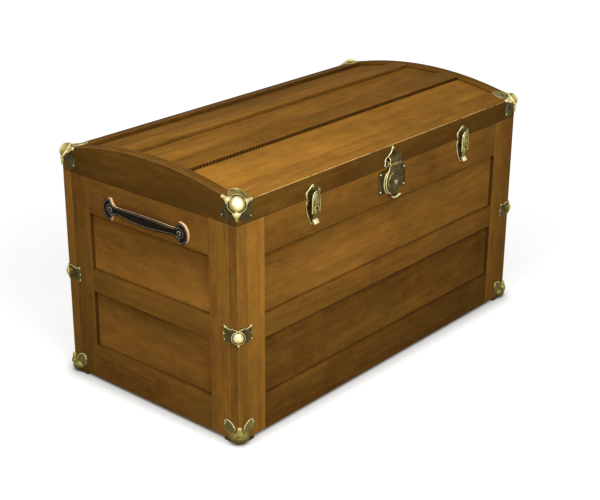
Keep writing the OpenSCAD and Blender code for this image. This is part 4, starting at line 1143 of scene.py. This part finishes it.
def drawHasp(bm, place):
    (x, y), radius, back = lock["drum"], hasp["radius"], hasp["back"]
    at = place @ shift(x, y, back)
    disc = [
        (0, 0), (radius, 0), (radius, 1.2), (radius - 0.4, 1.7), (radius - 1.2, 1.8), (radius - 2.0, 1.5),
        (radius - 2.5, 1.1), (0, 1.1),
    ]
    turned(bm, disc, at, 96, (0, 0, 0.1, 0.2, 0.2, 0.15, 0.0, 0.0))
    neck = smoothLine(hasp["neck"], 4, False)
    flap = neck + [(-px, py) for px, py in neck[::-1]]
    plate(bm, flap, 1.45, place @ shift(0, 0, back), 0.8, 0.3, rise=(0.04, 0.15))
    # the left rim is painted bright and the right one dim: painted light from the left
    rim = [(px + 0.5, py, back + 1.5) for px, py in neck] + ringArc((x, y), radius - 1.0, 157, 252, back + 1.5)
    wireRun(bm, rim, 1.0, place, 0.95)
    rim = [(-px - 0.5, py, back + 1.4) for px, py in neck] + ringArc((x, y), radius - 1.0, 23, -60, back + 1.4)
    wireRun(bm, rim, 0.6, place, 0.2)
    wide, tall = hasp["dome"]
    whole = (wide * wide + tall * tall) / (2 * tall)
    spread = math.asin(wide / whole)
    turn = [spread * i / 10 for i in range(11)]
    dome = [(whole * math.sin(a), 1.2 + whole * math.cos(a) - whole + tall) for a in turn]
    turned(bm, dome + [(0, 1.0)], at, 64, [0.2, 0.2, 0.15, 0.1, 0.05] + [0.0] * 7)
    # a painted highlight on the upper left of the dome
    wireRun(bm, ringArc((x, y), wide + 0.4, 95, 215, back + 1.5), 0.7, place, 0.75)
    boss = hasp["boss"]
    collar = [(0, 5.2), (1.7, 5.2), (2.0, 6.3), (2.8, 6.6), (boss - 0.2, 6.2), (boss, 5.0), (boss, 2), (0, 2)]
    turned(bm, collar, at, 36, (-0.3, -0.3, 0.9, 1.0, 0.9, 0.6, 0.3, 0.1))
    bar(bm, oblong(-0.7, -2.6, 0.7, 0), 5.1, 5.3, at, 0, -0.4)
    (out, up), thick = hasp["pivot"], hasp["barrel"]
    barrel = [(0, -14.9), (2.9, -14.9), (thick, -14.6), (thick, 14.6), (2.9, 14.9), (0, 14.9)]
    across = place @ shift(0, up, out) @ Matrix.Rotation(math.pi / 2, 4, "Y")
    turned(bm, barrel, across, 28, (0.2, 0.4, 0.4, 0.4, 0.4, 0.2))
    # a painted highlight: a bright line along the front of the barrel
    wireRun(bm, [(-14.6, up + 0.2, out + 2.5), (14.6, up + 0.2, out + 2.5)], 1.0, place, 0.95)
    centre, root, edge, reach = hasp["lip"]
    shell = bmesh.new()
    profile = [
        (0, back), (root, back), (root + 1.2, 7.6), (edge, reach), (edge - 0.9, reach + 0.1), (root - 0.4, 7.6),
        (root - 1.4, back + 1.4), (0, back + 1.4),
    ]
    wider = shift(x, centre) @ Matrix.Diagonal((hasp["lipStretch"], 1, 1, 1))
    turned(shell, profile, wider, 64, (0.0, 0.1, 0.5, 1.1, 1.1, -0.1, -0.2, -0.2))
    cutAcross(shell, (0, hasp["lipTop"] * mm, 0), (0, 1, 0), close=True)
    addPart(bm, shell, place)
    for low, high, inner, outer in hasp["staple"]:
        bar(bm, oblong(-1.5, low, 1.5, high), inner, outer, place, 0.2, 0.2)


for draw, piece, body, node in (
    (drawLock, "lockFace", "case", "lock_plate"),
    (drawHaspPlate, "haspPlateHousing", "lid", "hasp_plate"),
    (drawHasp, "haspFlap", "hasp", "hasp"),
):
    brassPiece(drawn(draw, [atSeam(0)]), piece, body, node)
print("lock and hasp made")


# hinges on the back: eased leaves with screws
hinges = {
    "at": 250.0,
    "screws": (-24.0, 0.0, 24.0),
    "height": 21.0,
}


def screw(bm, x, y, place, radius=2.6, lift=2.0):  # a countersunk head with a slot
    head = [
        (0, lift - 0.5), (radius, lift - 0.5), (radius, lift + 0.05), (radius * 0.7, lift + 0.35), (0, lift + 0.45),
    ]
    at = place @ shift(x, y)
    turned(bm, head, at, 24, (0.2, 0.3, 0.6, 0.7, 0.7))
    bar(bm, oblong(-radius * 0.8, -0.3, radius * 0.8, 0.3), lift, lift + 0.5, at, 0, -0.4)


for node, piece, body, side in (
    ("hinge_case_leaves", "hingeCaseLeaves", "case", -1),
    ("hinge_lid_leaves", "hingeLidLeaves", "lid", 1),
):
    bm = nodeShape(node)
    easeArrises(bm, 0.4 * mm)
    setRise(bm, 0.35)
    for centre in (-hinges["at"], hinges["at"]):
        place = axes((-1, 0, 0), (0, 0, 1), (0, 1, 0), (centre * mm, backY, caseHeights["seam"]))
        for x in hinges["screws"]:
            screw(bm, x, side * hinges["height"], place)
    brassPiece(bm, piece, body, node, 30)
print("hinges made")


# handles: a bowed black leather strap with raw edges, seams of stitches and two screws with washers
handle = {
    "span": 168.0,
    "height": 348.0,
    "thick": 4.5,
    "hide": 1.9,
    "grip": 76,
    "bow": 7.0,
    "arched": 1.6,
    "flat": 16.0,
    "crown": 1.5,
    "quarter": [
        (104.2, 0), (103.4, 5.8), (101.0, 11.0), (97.2, 15.3), (92.2, 18.5), (86.8, 20.0), (83.2, 20.2),
        (83.2, 20.2), (82.2, 16.2), (80.0, 12.3), (76.0, 9.0), (70.0, 7.4), (64.0, 7.3), (57.0, 7.9), (38.0, 9.3),
        (19.0, 10.2), (0, 10.5),
    ],
    "stitchInset": 2.6,
    "stitchStep": 3.6,
    "stitchLong": 2.3,
    "stitchThick": 0.5,
    "screwRing": 9.6,
}


def handleOutline():  # round the strap, from its quarter
    quarter = smoothLine(handle["quarter"], 3, False)
    half = quarter + [Vector((-x, y)) for x, y in quarter[-2::-1]]
    return half + [Vector((x, -y)) for x, y in half[-2:0:-1]]


def bowed(x):  # how far the strap stands off the wood there
    run = handle["span"] / 2 - handle["flat"]
    bend = (run * run + handle["bow"] ** 2) / (2 * handle["bow"])
    return 0 if abs(x) >= run else (bend * bend - x * x) ** 0.5 - bend + handle["bow"]


def crowned(x, y):  # how far the top drops towards the edges of the grip
    return -handle["crown"] * min(1, (y / 11) ** 2) * (1 if abs(x) < 58 else max(0, 1 - (abs(x) - 58) / 14))


def arched(x):  # how far the middle of the grip stands above its ends
    return handle["arched"] * max(0, 1 - (x / 68) ** 2)


def drawStrap(bm):
    part, _ = slab(handleOutline(), 0, handle["thick"])
    cutAcross(part, (0, 0, handle["hide"] * mm), (0, 0, 1))
    for x in range(-100, 101, 5):
        cutAcross(part, (x * mm, 0, 0), (1, 0, 0))
    for y in (-18, -14, -9, -6, -3, 0, 3, 6, 9, 14, 18):
        cutAcross(part, (0, y * mm, 0), (0, 1, 0))
    bmesh.ops.recalc_face_normals(part, faces=part.faces)
    for face in part.faces:  # the cut edge is bare, but black low down on the grip
        middle = face.calc_center_median()
        black = middle.z < handle["hide"] * mm and abs(middle.x) < handle["grip"] * mm
        face.material_index = 0 if abs(face.normal.z) > 0.5 or black else 1
    rims = [
        e for e in part.edges
        if e.verts[0].co.z > 2 * mm and len({face.material_index for face in e.link_faces}) == 2
    ]
    soften(part, rims, 0.5 * mm, material=0)
    for vert in part.verts:
        x, y = vert.co.x / mm, vert.co.y / mm
        vert.co.z += (bowed(x) + (crowned(x, y) if vert.co.z > 2 * mm else 0)) * mm
        vert.co.y += arched(x) * mm
    addPart(bm, part, inPlace)


def drawStitches(bm):
    outline = handleOutline()
    inner = []  # the outline moved inwards by the seam's distance from the edge
    for before, here, after in zip(outline[-1:] + outline, outline, outline[1:] + outline[:1]):
        along = (after - before).normalized()
        inner.append(here + Vector((-along.y, along.x)) * handle["stitchInset"])
    rings = [inner + inner[:1]]
    for side in (-1, 1):
        middle = side * handle["span"] / 2
        turn = [math.radians(a) for a in range(-128, 129, 8)]
        radius = handle["screwRing"]
        rings.append([Vector((middle + side * radius * math.cos(a), radius * 0.9 * math.sin(a))) for a in turn])
    size = handle["stitchThick"]
    for ring in rings:
        left = 0.0
        for here, there in zip(ring, ring[1:]):
            length = (there - here).length
            way = (there - here).normalized()
            while left < length:
                x, y = here.lerp(there, left / length)
                slope = math.atan2(bowed(x + 1) - bowed(x - 1), 2) * (1 if way.x > 0 else -1) * abs(way.x)
                top = handle["thick"] + bowed(x) + crowned(x, y) + 0.05
                capsule = bmesh.new()
                capsule.verts.layers.float.new("rise")
                bmesh.ops.create_uvsphere(capsule, u_segments=6, v_segments=4, radius=size * mm)
                bmesh.ops.scale(capsule, verts=capsule.verts, vec=(handle["stitchLong"] / 2 / size, 1, 0.8))
                turnedAlong = Matrix.Rotation(math.atan2(way.y, way.x), 4, "Z") @ Matrix.Rotation(-slope, 4, "Y")
                for face in capsule.faces:
                    face.material_index = 2
                addPart(bm, capsule, shift(x, y + arched(x), top) @ turnedAlong)
                left += handle["stitchStep"]
            left -= length


handleHeight = caseHeights["bottom"] + handle["height"] * mm
middleY = (frontY + backY) / 2
handlePlaces = {
    "left": axes((0, -1, 0), (0, 0, 1), (-1, 0, 0), (leftX, middleY, handleHeight)),
    "right": axes((0, 1, 0), (0, 0, 1), (1, 0, 0), (rightX, middleY, handleHeight)),
}
strap = bmesh.new()
drawStrap(strap)
drawStitches(strap)
strapMesh = meshOf(strap, "strap")
strapLooks = [leatherLook, rawEdgeLook, threadLook]
for name, place in handlePlaces.items():
    pieceFrom(copies(strapMesh, [place]), name + "Handle", strapLooks, "case", "black_leather", name + "_handle")
bpy.data.meshes.remove(strapMesh)


def drawHandleScrews(bm, place):
    for x in (-handle["span"] / 2, handle["span"] / 2):
        at = place @ shift(x, 0, handle["thick"])
        head = [(0, -16), (2.0, -16), (2.0, 1), (2.8, 1.0), (2.9, 1.4), (2.6, 2.1), (1.8, 2.5), (0, 2.6)]
        turned(bm, head, at, 28, (0, 0, 0, 0.2, 0.3, 0.3, 0.3, 0.3))
        askew = at @ Matrix.Rotation(0.6 + x * 0.01, 4, "Z")
        bar(bm, oblong(-2.1, -0.35, 2.1, 0.35), 2.6, 2.75, askew, 0, -0.4)


def drawWashers(bm, place):
    for x in (-handle["span"] / 2, handle["span"] / 2):
        ring = [(2.2, 0), (6.0, 0), (6.0, 0.2), (4.7, 0.35), (4.3, 0.9), (3.7, 1.1), (3.2, 0.8), (2.2, 0.8), (2.2, 0)]
        turned(bm, ring, place @ shift(x, 0, handle["thick"]), 40, (0, 0, 0, 0.3, 1.1, 1.2, 0.2, -0.2, 0))


for draw, piece, slot, node in (
    (drawHandleScrews, "handleScrewHeads", "steel", "handle_screws"),
    (drawWashers, "handleWasherRings", "antique_brass", "handle_washers"),
):
    pieceFrom(drawn(draw, handlePlaces.values()), piece, [dullLook], "case", slot, node, 40)
print("handles made")


# metal and leather that still show the CAD node take their look here
nodeLooks = {"black_leather": leatherLook, "antique_brass": brassLook, "steel": steelLook}
for name, node in nodes.items():
    for place in node.material_slots:
        for key, look in nodeLooks.items():
            if place.material and key in place.material.name:
                place.material = look


# floor, sky and lamps
studio = {
    "floorSize": 14.0,
    "floorTones": (colour(196, 196, 194), colour(204, 204, 202)),
    "glowReach": (0.6, 1.8),
    "glow": 0.65,
    "contactReach": 0.042,
    "contactShade": 1.05,
    "sky": 0.17,
    "aim": (0, 0, 0.25),
    "lamps": {
        "keyLamp": {"at": (-0.5, -1.3, 1.2), "size": 1.4, "watts": 24},
        "topLamp": {"at": (-0.7, -0.25, 2.3), "size": 1.4, "watts": 14},
        "sideLamp": {"at": (-1.9, -0.35, 1.35), "size": 1.1, "watts": 15},
    },
}


def seenDirectly(wire):  # camera, glossy and transmission rays see the white room
    paths = wire.tree.nodes.new("ShaderNodeLightPath")
    camera, glossy, through = (
        Wire(wire.tree, paths.outputs[f"Is {kind} Ray"]) for kind in ("Camera", "Glossy", "Transmission")
    )
    return wire.sum("MAXIMUM", wire.sum("MAXIMUM", camera, glossy), through)


def makeFloor():
    look, wire, place = startLook("paleFloor")
    cloud = grained(wire, place, 6.0, 3.0)
    matt = wire.node("BsdfDiffuse", None, {"Color": cloud.blend(*studio["floorTones"])})
    away = wire.node("VectorMath", {"operation": "LENGTH"}, {0: place}, "Value").step(*studio["glowReach"])
    near = wire.node("AmbientOcclusion", {"samples": 16}, {"Distance": studio["contactReach"]}, "AO")
    shade = (1.0 - near) * studio["contactShade"]  # darkens the floor close to the trunk
    glow = seenDirectly(wire) * wire.sum("MAXIMUM", away * (1 - studio["glow"]) + studio["glow"] - shade)
    white = wire.node("Emission", None, {"Color": (1, 1, 1, 1), "Strength": glow})
    closeLook(look, wire, wire.node("AddShader", None, {0: matt, 1: white}))
    bm = bmesh.new()
    bmesh.ops.create_grid(bm, x_segments=8, y_segments=8, size=studio["floorSize"] / 2)
    mesh = meshOf(bm, "floor")
    mesh.materials.append(look)
    floor = bpy.data.objects.new("floor", mesh)
    bpy.context.scene.collection.objects.link(floor)


def makeSky():
    world = bpy.data.worlds.new("paleRoom")
    bpy.context.scene.world = world
    world.use_nodes = True
    tree = world.node_tree
    tree.nodes.clear()
    wire = Wire(tree)
    strength = studio["sky"] + seenDirectly(wire) * (1 - studio["sky"])
    sky = wire.node("Background", None, {"Color": (1, 1, 1, 1), "Strength": strength})
    out = tree.nodes.new("ShaderNodeOutputWorld")
    tree.links.new(sky.socket, out.inputs["Surface"])


def makeLamp(name, at, size, watts):
    lamp = bpy.data.lights.new(name, "AREA")
    lamp.shape = "DISK"
    lamp.size = size
    lamp.energy = watts
    holder = bpy.data.objects.new(name, lamp)
    bpy.context.scene.collection.objects.link(holder)
    aim = Vector(studio["aim"]) - Vector(at)
    holder.matrix_world = Matrix.Translation(at) @ aim.to_track_quat("-Z", "Y").to_matrix().to_4x4()


makeFloor()
makeSky()
for name, lamp in studio["lamps"].items():
    makeLamp(name, **lamp)
bpy.context.scene.view_settings.view_transform = "Standard"
print("studio made")
